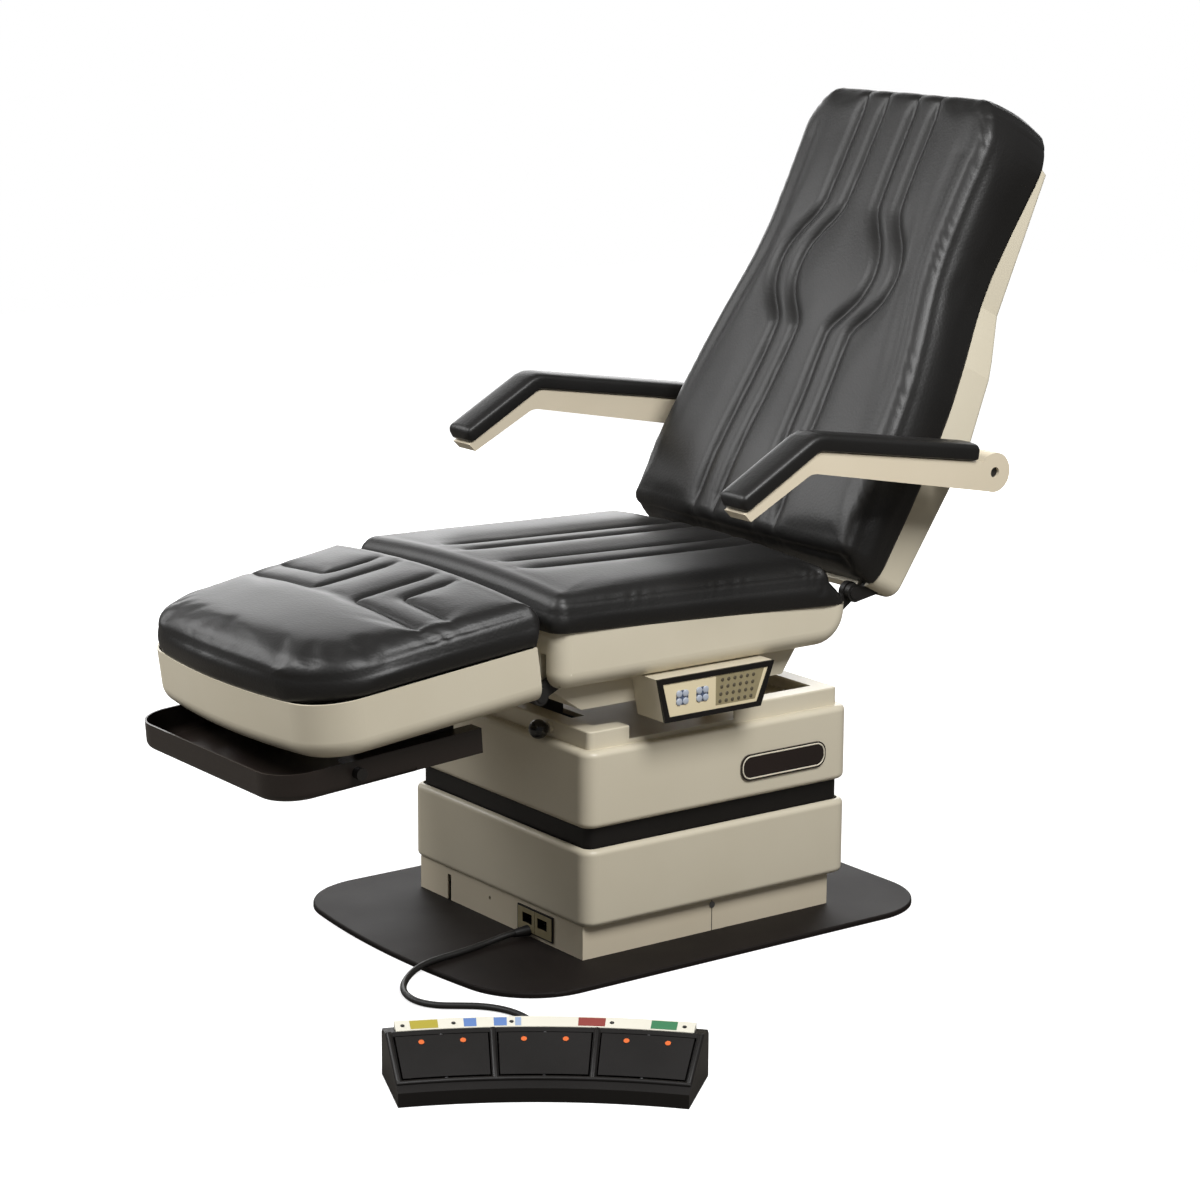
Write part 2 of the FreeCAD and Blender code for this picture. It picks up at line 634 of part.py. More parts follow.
def carriage_plate():
    """Plate that seats the upper cover and carries the tilt ears."""
    body = new_body("carriage_plate")
    low, high = S.carriage_low, S.carriage_low + S.carriage_thick
    inset = S.ledge_inset + S.cover_wall - S.carriage_seat
    pad(body, "z", cover_outline(inset), low, high)
    half = S.hanger_in - S.rest_gap
    reach = S.hanger_half + S.hanger_thick * 2
    window = rectangle(-half, half, -S.tilt_rod_y - reach, reach - S.tilt_rod_y)
    pocket(body, "z", window, low - 1, high + 1)
    for side in (1, -1):
        x = span(side, S.ear_in, S.ear_in + S.ear_thick)
        ear = [(S.tilt_y - S.ear_foot, high), (S.tilt_y + S.ear_foot, high),
               (S.tilt_y + S.tilt_lug, S.tilt_z), (S.tilt_y - S.tilt_lug, S.tilt_z)]
        pad(body, "x", ear, *x)
        pad_round(body, "x", (S.tilt_y, S.tilt_z), S.tilt_lug, *x)
        bore(body, "x", (S.tilt_y, S.tilt_z), S.tilt_radius, *x)


def tilt_shaft():
    """Shaft in the carriage ears that the seat turns on."""
    reach = S.ear_in + S.ear_thick + S.shaft_over
    piece("tilt_shaft", rod("shaft", "x", (S.tilt_y, S.tilt_z), S.tilt_radius, -reach, reach))


def tilt_actuator():
    """Vertical actuator hung from the carriage plate, and its rod with a cross pin."""
    body = new_body("tilt_actuator")
    centre = (size_of(0), -S.tilt_rod_y)
    outer = S.hanger_in + S.hanger_thick
    y = (-S.tilt_rod_y - S.hanger_half, S.hanger_half - S.tilt_rod_y)
    top = S.tilt_tube_top
    pad(body, "z", rectangle(-outer, outer, *y), top - S.hanger_thick, top)
    pad_round(body, "z", centre, S.tilt_tube_radius, S.tilt_tube_low, top - S.hanger_thick)
    for side in (1, -1):
        x = span(side, S.hanger_in, outer)
        pad(body, "z", rectangle(*x, *y), S.hanger_low, S.carriage_low)
    hole = S.tilt_rod_radius + S.rod_gap
    bore(body, "z", centre, hole, S.tilt_tube_low + S.hanger_thick, top + 1)
    low = S.tilt_tube_low + S.hanger_thick + S.rest_gap
    stem = rod("stem", "z", centre, S.tilt_rod_radius, low, S.tilt_pin_z + S.tilt_rod_radius)
    reach = S.cheek_in + S.cheek_thick + S.pin_over
    pin = rod("pin", "x", (-S.tilt_rod_y, S.tilt_pin_z), S.tilt_pin_radius, -reach, reach)
    piece("tilt_rod", boolean("Fuse", "rod", stem, pin))


def badge():
    """Bare lozenge plate on the left side of the upper cover."""
    body = new_body("badge_plate")
    half_long, half_high = S.badge_long / 2, S.badge_high / 2
    outline = rectangle(S.badge_y - half_long, S.badge_y + half_long, S.badge_z - half_high, S.badge_z + half_high)
    pad(body, "x", outline, S.cover_half, S.cover_half + S.badge_thick)
    round_edges(body, half_high - S.badge_thick, lambda edge: runs_along(edge, "x"))


def release_knob():
    """Ball knob on a pull stem that slides in the collar of the upper cover."""
    face = S.ledge_inset - S.cover_front
    centre = (S.knob_x, S.knob_z)
    ball = DOC.addObject("Part::Sphere", "ball")
    ball.setExpression("Radius", S.knob_radius.text)
    middle = face - S.collar_long - S.rest_gap - S.knob_radius
    for direction, size in (("x", S.knob_x), ("y", middle), ("z", S.knob_z)):
        ball.setExpression(f"Placement.Base.{direction}", size.text)
    stem = rod("stem", "y", centre, S.stem_radius, middle, face + S.stem_tail)
    piece("release_knob", boolean("Fuse", "knob", ball, stem))


# Seat: shroud, pan, frame, cushion, panel and drives

def seat_shroud():
    """Painted tub under the seat cushion, cut out where hinges and drives pass."""
    body = new_body("seat_shroud")
    curve = S.shroud_curve
    side = [(-S.shroud_front, S.shroud_low), (S.shroud_rear - curve, S.shroud_low, curve * (1 - math.sqrt(0.5))),
            (S.shroud_rear, S.shroud_low + curve), (S.shroud_rear, S.shroud_top_rear),
            (-S.shroud_front, S.shroud_top_front)]
    pad(body, "x", side, -S.shroud_half, S.shroud_half)
    flank = lambda edge: abs(edge.CenterOfMass.x) > 1 and edge.CenterOfMass.z < mm(S.shroud_top_rear) - 10
    nose = lambda edge: lies_at(edge, S.shroud_low) and edge.CenterOfMass.y < 1 - mm(S.shroud_front)
    round_edges(body, S.shroud_edge, lambda edge: flank(edge) or nose(edge))
    inside = S.shroud_low + S.shroud_floor
    wall = S.shroud_side
    room = [(wall - S.shroud_front, inside), (S.shroud_rear - curve, inside, wall),
            (S.shroud_rear - wall, S.shroud_low + curve), (S.shroud_rear - wall, S.shroud_top_rear + 9),
            (wall - S.shroud_front, S.shroud_top_front + 9)]
    pocket(body, "x", room, wall - S.shroud_half, S.shroud_half - wall)
    floor = rectangle(-S.floor_half, S.floor_half, -S.floor_front, S.floor_rear)
    pocket(body, "z", floor, S.shroud_low - 1, inside + 1)
    neck = S.rail_high - S.shroud_low
    depth = S.shroud_edge + S.shroud_wall * 5
    back_depth = S.shroud_curve + S.shroud_wall * 2
    for middle, wide in rail_gaps():
        gap = rectangle(middle - wide / 2, middle + wide / 2, S.shroud_low - 1, S.shroud_low + neck + 6)
        pocket(body, "y", gap, -S.shroud_front - 1, depth - S.shroud_front)
        pocket(body, "y", gap, S.shroud_rear - back_depth, S.shroud_rear + 1)
    top = S.shroud_low + neck + 12
    high_gap = S.shroud_top_rear + 1
    for side_sign in (1, -1):
        x = span(side_sign, S.rail_in - 3, S.rail_in + S.rail_thick + 3)
        pocket(body, "y", rectangle(*x, top - 13, high_gap), S.shroud_rear - depth, S.shroud_rear + 1)


def rail_gaps():
    """Middle and width of each gap in the shroud's end walls, for rails and drives."""
    rail = S.rail_in + S.rail_thick / 2
    wide = S.rail_thick + 6
    drive = (S.eye_half + S.cheek_gap + S.crank_thick) * 2 + 8
    return [(rail, wide), (-rail, wide), (S.drive_x, drive), (-S.drive_x, drive)]


def underseat_pan():
    """Shallow pan below the shroud with slanted ends, open where the tilt parts pass."""
    body = new_body("underseat_pan")
    side = [(-S.pan_front_low, S.pan_low), (S.pan_rear_low, S.pan_low),
            (S.pan_rear, S.shroud_low), (-S.pan_front, S.shroud_low)]
    pad(body, "x", side, -S.pan_half, S.pan_half)
    hollow(body, S.shroud_wall, lambda face: lies_at(face, S.shroud_low))
    floor = (S.pan_low - 1, S.pan_low + S.shroud_wall + 1)
    half_y = S.tilt_lug + 5
    for side_sign in (1, -1):
        x = span(side_sign, S.lug_out - S.lug_thick - 3, S.lug_out + 3)
        pocket(body, "z", rectangle(*x, S.tilt_y - half_y, S.tilt_y + half_y), *floor)
    half_x = S.cheek_in + S.cheek_thick + 4
    half_y = S.cheek_half + 6
    window = rectangle(-half_x, half_x, -S.tilt_rod_y - half_y, half_y - S.tilt_rod_y)
    pocket(body, "z", window, *floor)


def seat_frame():
    """Welded frame: two side rails with hinge lugs, cross bars, tilt lugs and tilt bracket."""
    body = new_body("seat_frame")
    low = S.shroud_low + S.shroud_floor
    high = low + S.plate_six
    reach = S.rail_in
    bars = [(-S.front_bar, S.front_bar_wide - S.front_bar),
            (-S.tilt_rod_y - S.bar_wide / 2, S.bar_wide / 2 - S.tilt_rod_y),
            (S.tilt_y - S.bar_wide / 2, S.tilt_y + S.bar_wide / 2)]
    rail = [(-S.foot_y + 4, S.foot_z - S.foot_lug + 1), (-S.foot_y + S.foot_lug * 4, low),
            (S.back_y - 73, low), (S.back_y + 8, S.back_z - 13), (S.back_y - 10, S.back_z + 12),
            (S.back_y - 22, S.back_z - 16), (S.back_y - 73, S.rail_high), (-S.foot_y + 32, S.rail_high), (-S.foot_y + 28, low + 13),
            (-S.foot_y - 9, S.foot_z + 9)]
    first, *others = bars
    pad(body, "z", rectangle(-reach, reach, *first), low, high)
    for side in (1, -1):
        x = span(side, S.rail_in, S.rail_in + S.rail_thick)
        pad(body, "x", rail, *x)
        pad_round(body, "x", (-S.foot_y, S.foot_z), S.foot_lug, *x)
        pad_round(body, "x", (S.back_y, S.back_z), S.back_lug, *x)
        bore(body, "x", (-S.foot_y, S.foot_z), S.foot_pin, *x)
        bore(body, "x", (S.back_y, S.back_z), S.back_pin, *x)
    for bar in others:
        pad(body, "z", rectangle(-reach, reach, *bar), low, high)
    for side in (1, -1):
        x = span(side, S.lug_out - S.lug_thick, S.lug_out)
        lug = [(S.tilt_y - S.tilt_lug, S.tilt_z), (S.tilt_y + S.tilt_lug, S.tilt_z),
               (S.tilt_y + S.tilt_lug, low), (S.tilt_y - S.tilt_lug, low)]
        pad(body, "x", lug, *x)
        pad_round(body, "x", (S.tilt_y, S.tilt_z), S.tilt_lug, *x)
        bore(body, "x", (S.tilt_y, S.tilt_z), S.tilt_radius + S.run_gap, *x)
        x = span(side, S.cheek_in, S.cheek_in + S.cheek_thick)
        foot = S.tilt_pin_z - S.tilt_pin_radius * 2.5
        cheek = rectangle(-S.tilt_rod_y - S.cheek_half, S.cheek_half - S.tilt_rod_y, foot, low)
        pad(body, "x", cheek, *x)
        room = S.tilt_pin_radius + S.tilt_slack
        slot = rectangle(-S.tilt_rod_y - room, S.tilt_slide + room - S.tilt_rod_y,
                         S.tilt_pin_z - room, S.tilt_pin_z + room)
        pocket(body, "x", slot, *x)


def hinge_pins():
    """Short pins that join the side rails to the back and to the foot section."""
    inner = S.rail_in - S.pin_over
    outer = S.rail_in + S.rail_thick * 2 + S.lug_space + S.pin_over
    pins = []
    for side in (1, -1):
        pins.append(rod("pin", "x", (S.back_y, S.back_z), S.back_pin, *span(side, inner, outer)))
        pins.append(rod("pin", "x", (-S.foot_y, S.foot_z), S.foot_pin, *span(side, inner, outer)))
    piece("hinge_pins", group("pins", pins))


def drive_actuator(label, x, sense, rod_z):
    """Actuator on the cross bars, bored for a rod that leaves it towards one end."""
    centre = (x, rod_z)
    low, high = -S.drive_front, S.drive_long - S.drive_front
    tube = rod("tube", "y", centre, S.drive_radius, low, high)
    bar_top = S.shroud_low + S.shroud_floor + S.plate_six
    saddle = box("saddle", (x - S.saddle, x + S.saddle), (low, high), (bar_top, rod_z))
    whole = boolean("Fuse", "whole", tube, saddle)
    reach = S.drive_long / 2
    hole = S.drive_rod + S.rod_gap
    if sense > 0:
        void = rod("void", "y", centre, hole, high - reach, high + 1)
    else:
        void = rod("void", "y", centre, hole, low - 1, low + reach)
    piece(label, boolean("Cut", "actuator", whole, void))


def drive_rod(label, x, sense, rod_z, pin_y):
    """Rod of an actuator with a slotted eye round the crank pin."""
    body = new_body(label)
    end = S.drive_long - S.drive_front if sense > 0 else -S.drive_front
    inner = end - S.drive_long * sense / 3
    near = pin_y - S.eye_long * sense
    if sense > 0:
        pad_round(body, "y", (x, rod_z), S.drive_rod, inner, near)
    else:
        pad_round(body, "y", (x, rod_z), S.drive_rod, near, inner)
    eye = rectangle(pin_y - S.eye_long, pin_y + S.eye_long, rod_z - S.eye_high, rod_z + S.eye_high)
    pad(body, "x", eye, x - S.eye_half, x + S.eye_half)
    room = S.crank_pin + S.crank_slack
    rise = S.eye_high - S.crank_pin
    slot = rectangle(pin_y - room, pin_y + room, rod_z - rise, rod_z + rise)
    pocket(body, "x", slot, x - S.eye_half - 1, x + S.eye_half + 1)


def control_panel():
    """Housing beside the pan, with a raised bezel and a flat membrane keypad."""
    outline = [(-S.panel_foot_front, S.panel_low), (S.panel_foot_rear, S.panel_low),
               (S.panel_rear, S.panel_top), (-S.panel_front, S.panel_top)]
    housing = new_body("panel_housing")
    pad(housing, "x", outline, S.pan_half, S.panel_out)
    wide = S.bezel_wide
    inner = [(wide - S.panel_foot_front, S.panel_low + wide), (S.panel_foot_rear - wide, S.panel_low + wide),
             (S.panel_rear - wide * 1.4, S.panel_top - wide), (wide * 1.2 - S.panel_front, S.panel_top - wide)]
    bezel = new_body("panel_bezel")
    pad(bezel, "x", outline, S.panel_out, S.panel_out + S.bezel_thick)
    pocket(bezel, "x", inner, S.panel_out - 1, S.panel_out + S.bezel_thick + 1)
    keypad = new_body("keypad")
    pad(keypad, "x", inner, S.panel_out, S.panel_out + S.keypad_thick)


# Soft forms: extruded profiles that meet in one crowned solid

def profile(points, along, square=None):
    """A face from corners, each with the outward rise of the edge that leaves it, extruded by a vector.

    Where the vector leans, square is the direction at right angles to the face.
    """
    square = square or along
    ring = [corner for corner, rise in points]
    turning = sum((first.cross(second) for first, second in zip(ring, ring[1:] + ring[:1])), Vec())
    if turning.dot(square) < 0:
        square = square * -1
    edges = []
    for here, (corner, rise) in enumerate(points):
        start, end = corner, points[(here + 1) % len(points)][0]
        if rise == 0:
            edges.append(Part.LineSegment(start, end).toShape())
            continue
        outward = (end - start).cross(square).normalize()
        edges.append(Part.Arc(start, (start + end) * 0.5 + outward * rise, end).toShape())
    return Part.Face(Part.Wire(edges)).extrude(along)


def common(shapes):
    """What several solids share."""
    first, *rest = shapes
    for shape in rest:
        first = first.common(shape)
    return first.removeSplitter()


def strip(points, half_wide, lift, along):
    """A straight-sided strip of a given width along a hand-drawn line, extruded by a vector."""
    sides = []
    for here, point in enumerate(points):
        before = points[max(here - 1, 0)]
        after = points[min(here + 1, len(points) - 1)]
        inward = (point - before).normalize() if here else (after - point).normalize()
        outward = (after - point).normalize() if here < len(points) - 1 else inward
        middle = (inward + outward).normalize()
        sideways = middle.cross(along).normalize()
        reach = half_wide / max(abs(middle.dot(outward)), 0.5)
        sides.append((point + sideways * reach + lift, point - sideways * reach + lift))
    outline = [left for left, right in sides] + [right for left, right in reversed(sides)]
    return Part.Face(Part.makePolygon(outline + outline[:1])).extrude(along)


def seat_cushion():
    """Crowned seat cushion with drawn-in sides and four lengthwise channels."""
    half, side, crown = mm(S.seat_half), mm(S.seat_side), mm(S.seat_crown)
    turn, drawn, long = mm(S.seat_round), mm(S.seat_drawn), mm(S.seat_long)
    slope = mm(S.seat_rear_slope)
    rise = mm(S.seat_rise)
    top = side + crown
    high = top + rise
    bulge = turn * 0.2
    front = profile([(Vec(-half, 0, -rise), 0), (Vec(half, 0, -rise), 0), (Vec(half, 0, side - turn), bulge),
                     (Vec(half - turn, 0, side), crown), (Vec(turn - half, 0, side), bulge),
                     (Vec(-half, 0, side - turn), 0)], Vec(0, long, rise), Vec(0, 1, 0))
    length = profile([(Vec(-half, 0, 0), 0), (Vec(-half, 0, side - turn), bulge * 2),
                      (Vec(-half, turn * 2.5, top), 0), (Vec(-half, long - slope - turn * 2, high), bulge * 2),
                      (Vec(-half, long - slope, side - turn), 0), (Vec(-half, long, 0), 0)],
                     Vec(2 * half, 0, 0))
    plan = profile([(Vec(-half, 0, 0), drawn), (Vec(half, 0, 0), -drawn), (Vec(half, long, 0), 0),
                    (Vec(-half, long, 0), -drawn)], Vec(0, 0, high))
    shape = common([front, length, plan])
    deep = mm(S.channel_deep)
    radius = (half - turn) ** 2 / (2 * crown)
    for place in (mm(S.channel_in), mm(S.channel_out)):
        for x in (-place, place):
            level = top - x * x / (2 * radius) - deep
            line = [Vec(x, long * 0.08, level), Vec(x, long * 0.9, level + rise * 0.82)]
            shape = shape.cut(strip(line, mm(S.channel_wide) / 2, Vec(), Vec(0, 0, deep + crown)))
    slope_angle = math.degrees(math.atan2(mm(S.shroud_top_front - S.shroud_top_rear),
                                          mm(S.shroud_front + S.shroud_rear)))
    drop = mm(S.seat_front_over) * math.tan(math.radians(slope_angle))
    start = FreeCAD.Placement(Vec(0, -mm(S.shroud_front + S.seat_front_over), mm(S.shroud_top_front) + drop),
                              FreeCAD.Rotation(ACROSS, -slope_angle))
    shaped_piece("seat_cushion", shape, start)


# Back: frame, shell, cushion and arm shafts in the back's own frame

def back_outline(inset, low, top, crest):
    """Half-widths of the back up one side and down the other, as corners of a closed outline."""
    right = [(S.back_half - inset, low), (S.back_hip - inset, S.hip_z), (S.rib_half - inset, S.rib_z),
             (S.waist_half - inset, S.waist_z), (S.shoulder_half - inset, crest), (S.crest_half - inset, top)]
    left = [(-x, z) for x, z in reversed(right)]
    return right + left


def rim_depth(z):
    """Depth of the plane where shell and cushion meet, at a distance along the back."""
    share = (size_of(z) - S.shell_low) / (S.shell_top - S.shell_low)
    return S.rim_low + (S.rim_top - S.rim_low) * share


def back_shell():
    """Painted shell behind the back cushion, thinner towards its foot and its top."""
    body = new_body("back_shell")
    low, top, rear = S.shell_low, S.shell_top, S.shell_rear
    crest = top - S.shell_edge * 3
    pad(body, "y", back_outline(S.shell_inset, low, top, crest), S.rim_low, rear)
    wide = (-S.back_half, S.back_half)
    front_cut = [(S.rim_low, low), (S.rim_top, top), (S.rim_top, top + 1), (S.rim_low - 1, top + 1),
                 (S.rim_low - 1, low)]
    pocket(body, "x", front_cut, *wide)
    foot_cut = [(S.shell_low_rear, low - 1), (rear + 1, low - 1), (rear + 1, S.shell_full_low),
                (rear, S.shell_full_low)]
    pocket(body, "x", foot_cut, *wide)
    top_cut = [(rear, S.shell_full_top), (rear + 1, S.shell_full_top), (rear + 1, top + 1),
               (S.shell_top_rear, top + 1)]
    pocket(body, "x", top_cut, *wide)
    lowest = lambda edge: runs_along(edge, "y") and edge.BoundBox.ZMax < mm(low) + 1
    round_edges(body, S.shell_corner, lowest)
    round_edges(body, S.shell_edge, is_rear_rim)
    foot_slope = (rear - S.shell_low_rear) / (S.shell_full_low - low)
    top_slope = (rear - S.shell_top_rear) / (top - S.shell_full_top)
    wall = S.shell_wall
    floor, roof = low + wall, top - wall * 2
    bands = [(floor, S.shell_full_low, S.shell_low_rear + foot_slope * wall, rear, S.rib_half - 2),
             (S.shell_full_low, S.shell_full_top, rear, rear, S.waist_half + S.shell_inset),
             (S.shell_full_top, roof, rear, S.shell_top_rear + top_slope * wall * 2, S.waist_half - wall * 2)]
    for start, end, deep_start, deep_end, half in bands:
        room = [(S.rim_low - 1, start), (deep_start - wall, start), (deep_end - wall, end), (S.rim_low - 1, end)]
        pocket(body, "x", room, -half, half)
    wall = (low - 1, floor + 1)
    for side in (1, -1):
        x = span(side, S.rail_in + S.rail_thick - 2, S.rail_in + S.rail_thick * 2 + 4)
        pocket(body, "z", rectangle(*x, S.rim_low - 1, S.plate_rear_y), *wall)
    half = S.eye_half + S.cheek_gap + S.crank_thick + 3
    pocket(body, "z", rectangle(-S.drive_x - half, half - S.drive_x, S.rim_low - 1, rear), *wall)
    for side in (1, -1):
        x = span(side, S.back_hip - S.shell_inset * 3, S.back_half + 1)
        bore(body, "x", arm_place(), S.arm_shaft + 2, *x)


def is_rear_rim(edge):
    """Whether an edge runs round the shell's rear faces, folds across them left out."""
    middle = edge.CenterOfMass
    behind = edge.BoundBox.YMin > mm(rim_depth(middle.z)) + 6
    folds = (mm(S.shell_full_low), mm(S.shell_full_top))
    across = runs_along(edge, "x") and any(abs(middle.z - fold) < 1 for fold in folds)
    return behind and not across and not runs_along(edge, "y")


def arm_place():
    """The arm pivot in the back's frame, as depth and distance along the back."""
    lean = math.radians(mm(S.back_angle))
    dy, dz = mm(S.arm_y - S.back_y), mm(S.arm_z - S.back_z)
    depth = f"(Sizes.arm_y - Sizes.back_y) * sin(Sizes.back_angle) - (Sizes.arm_z - Sizes.back_z) * cos(Sizes.back_angle)"
    along = f"(Sizes.arm_y - Sizes.back_y) * cos(Sizes.back_angle) + (Sizes.arm_z - Sizes.back_z) * sin(Sizes.back_angle)"
    return (Size(dy * math.sin(lean) - dz * math.cos(lean), f"({depth})"),
            Size(dy * math.cos(lean) + dz * math.sin(lean), f"({along})"))


def crank_place(angle, text, depth_sign, along_sign):
    """The crank pin in a hinged section's own frame."""
    turn = math.radians(angle)
    return (Size(depth_sign * mm(S.crank) * math.sin(turn), f"({depth_sign} * Sizes.crank * sin({text}))"),
            Size(along_sign * mm(S.crank) * math.cos(turn), f"({along_sign} * Sizes.crank * cos({text}))"))


def back_crank_pin():
    """The back's crank pin: below the hinge, turned by the back's lean and the crank's lead."""
    angle = 90 - mm(S.back_angle) + mm(S.crank_lead)
    return crank_place(angle, "90 - Sizes.back_angle + Sizes.crank_lead", 1, -1)


def foot_crank_pin():
    """The foot section's crank pin: above the hinge, leaning into the seat."""
    angle = mm(S.foot_slope + S.foot_crank_lead)
    return crank_place(angle, "Sizes.foot_slope + Sizes.foot_crank_lead", 1, 1)


def add_crank(body, x, pin, arm):
    """Two crank plates with a pin between them, joined to the frame by an arm outline."""
    inner = S.eye_half + S.cheek_gap
    outer = inner + S.crank_thick
    for side in (1, -1):
        low, high = span(side, inner, outer)
        pad(body, "x", arm, x + low, x + high)
        pad_round(body, "x", pin, S.crank_half, x + low, x + high)
    pad_round(body, "x", pin, S.crank_pin, x - outer, x + outer)


def back_frame():
    """Cross plate and spine with hinge plates and the crank that the actuator pushes."""
    body = new_body("back_frame")
    outer = S.rail_in + S.rail_thick * 2 + S.lug_space
    inner = S.rail_in + S.rail_thick + S.lug_space
    thick = S.plate_six
    y = (S.spine_y, S.spine_y + thick)
    pad(body, "y", rectangle(-inner, inner, S.spine_low, S.spine_mid), *y)
    pad(body, "y", rectangle(-S.spine_half, S.spine_half, S.spine_mid, S.spine_top), *y)
    spacer = rectangle(-S.spacer_half, S.spacer_half, S.spacer_low, S.spacer_top)
    pad(body, "y", spacer, S.spine_y + thick, S.shell_rear - S.shell_wall)
    neck = S.plate_neck
    plate = [(neck / 2, 2 - neck), (S.plate_rear_y - 4, S.back_low + 4), (S.plate_rear_y, S.spine_low),
             (S.plate_rear_y, S.plate_top), (S.plate_front_y, S.plate_top), (S.plate_front_y, S.spine_low + 20),
             (neck + 2, S.back_lip), (neck - 2, neck - 1), (2 - neck / 2, neck - 3)]
    for side in (1, -1):
        x = span(side, inner, outer)
        pad(body, "x", plate, *x)
        pad_round(body, "x", (0, 0), S.back_lug - 2, *x)
        bore(body, "x", (0, 0), S.back_pin + S.run_gap, *x)
    pin = back_crank_pin()
    reach = S.crank_half
    arm = [(pin[0] - reach, pin[1]), (pin[0] + reach, pin[1]), (S.spine_y + thick, S.spine_low),
           (S.spine_y + thick, S.spine_low + 50), (S.spine_y, S.spine_low + 50), (S.spine_y - 14, S.spine_low - 8)]
    add_crank(body, -S.drive_x, pin, arm)
    place(body, BACK_FRAME)


def back_cushion():
    """Crowned back cushion with a waist and sewn lines that open round a lens at the shoulders."""
    face, crown, turn = mm(S.back_face), mm(S.back_crown), mm(S.back_round)
    half, low, lip, top = mm(S.back_half), mm(S.back_low), mm(S.back_lip), mm(S.back_top)
    front = -face - crown
    low_rear, rear = mm(rim_depth(S.back_low)), mm(rim_depth(S.back_top))
    corners = [(mm(x), mm(z)) for x, z in back_outline(size_of(0), S.back_low, S.back_top, S.shoulder_z)]
    rises = [0, 2, 3, -3, 8, 4, 8, -3, 3, 2, 0, 0]
    plan = profile([(Vec(x, front, z), rise) for (x, z), rise in zip(corners, rises)],
                   Vec(0, rear - front, 0))
    lowest = [edge for edge in plan.Edges if runs_along(edge, "y") and edge.CenterOfMass.z < low + 1]
    plan = plan.makeFillet(mm(S.back_corner), lowest)
    bulge = turn * 0.2
    across = profile([(Vec(-half, rear, low), 0), (Vec(half, rear, low), 0), (Vec(half, turn - face, low), bulge),
                      (Vec(half - turn, -face, low), crown), (Vec(turn - half, -face, low), bulge),
                      (Vec(-half, turn - face, low), 0)], Vec(0, 0, top - low))
    side = profile([(Vec(-half, low_rear, low), 0), (Vec(-half, turn - face, lip), bulge * 2),
                    (Vec(-half, front, lip + turn * 2), 0), (Vec(-half, front, top - turn * 3), bulge * 3),
                    (Vec(-half, turn - face, top), 0), (Vec(-half, rear, top), 0)], Vec(2 * half, 0, 0))
    shape = common([plan, across, side])
    deep, wide = mm(S.channel_deep), mm(S.channel_wide) / 2
    for line in back_channel_lines():
        middle = sum(x for x, z in line) / len(line)
        level = front + crown * (middle / half) ** 2 + deep
        for sign in (1, -1):
            points = [Vec(sign * x, level, z) for x, z in line]
            shape = shape.cut(strip(points, wide, Vec(), Vec(0, -deep - crown, 0)))
    shaped_piece("back_cushion", shape, BACK_FRAME)


def back_channel_lines():
    """Inner and outer sewn line of one side, from the foot of the back to its top."""
    lip, top = mm(S.back_lip), mm(S.back_top)
    lens_low, lens_top = mm(S.rib_z) - 12, mm(S.waist_z) + 98
    bow = mm(S.lens_bow)
    lines = []
    for x in (mm(S.channel_in), mm(S.channel_out)):
        near = x - 13
        lines.append([(x, lip + 12), (x - 3, lens_low / 2), (near, lens_low), (near + bow, lens_low + 62),
                      (near + bow, lens_top - 75), (near, lens_top), (near - 3, top - 30)])
    return lines


def arm_shafts():
    """Stub shafts with collars that carry the armrests at the back's sides."""
    inner = S.rail_in + S.rail_thick * 2 + S.lug_space
    end = S.arm_out - S.arm_wall - S.rest_gap
    centre = (S.arm_y, S.arm_z)
    stubs = []
    for side in (1, -1):
        shaft = rod("shaft", "x", centre, S.arm_shaft, *span(side, inner, end))
        low, high = span(side, S.arm_collar_in, S.arm_in - S.rest_gap)
        collar = rod("collar", "x", centre, S.arm_collar, low, high)
        stubs.append(boolean("Fuse", "stub", shaft, collar))
    piece("arm_shafts", group("stubs", stubs))


# Armrests

def arm_bar(label, side):
    """Bent bar with a pivot boss at its rear end and a round hole in its outer face."""
    body = new_body(label)
    x = span(side, S.arm_in, S.arm_out)
    heel = S.arm_boss * 0.6
    bar = [(S.arm_y, S.arm_z - S.arm_boss), (S.arm_y, S.rear_top - 8), (S.arm_y - heel, S.rear_top),
           (S.bend_y, S.bend_top), (-S.tip_y, S.tip_top), (-S.tip_y + 12, S.tip_low),
           (S.bend_y - 12, S.bend_low)]
    pad(body, "x", list(reversed(bar)), *x)
    pad_round(body, "x", (S.arm_y, S.arm_z), S.arm_boss, *x)
    bends = lambda edge: runs_along(edge, "x") and mm(S.bend_y) - 20 < edge.CenterOfMass.y < mm(S.bend_y) + 5
    round_edges(body, S.arm_boss, bends)
    skin = S.arm_out - S.arm_wall
    bore(body, "x", (S.arm_y, S.arm_z), S.arm_shaft + S.run_gap, *span(side, S.arm_in, skin))
    bore(body, "x", (S.arm_y, S.arm_z), S.arm_hole, *span(side, skin - 1, S.arm_out))


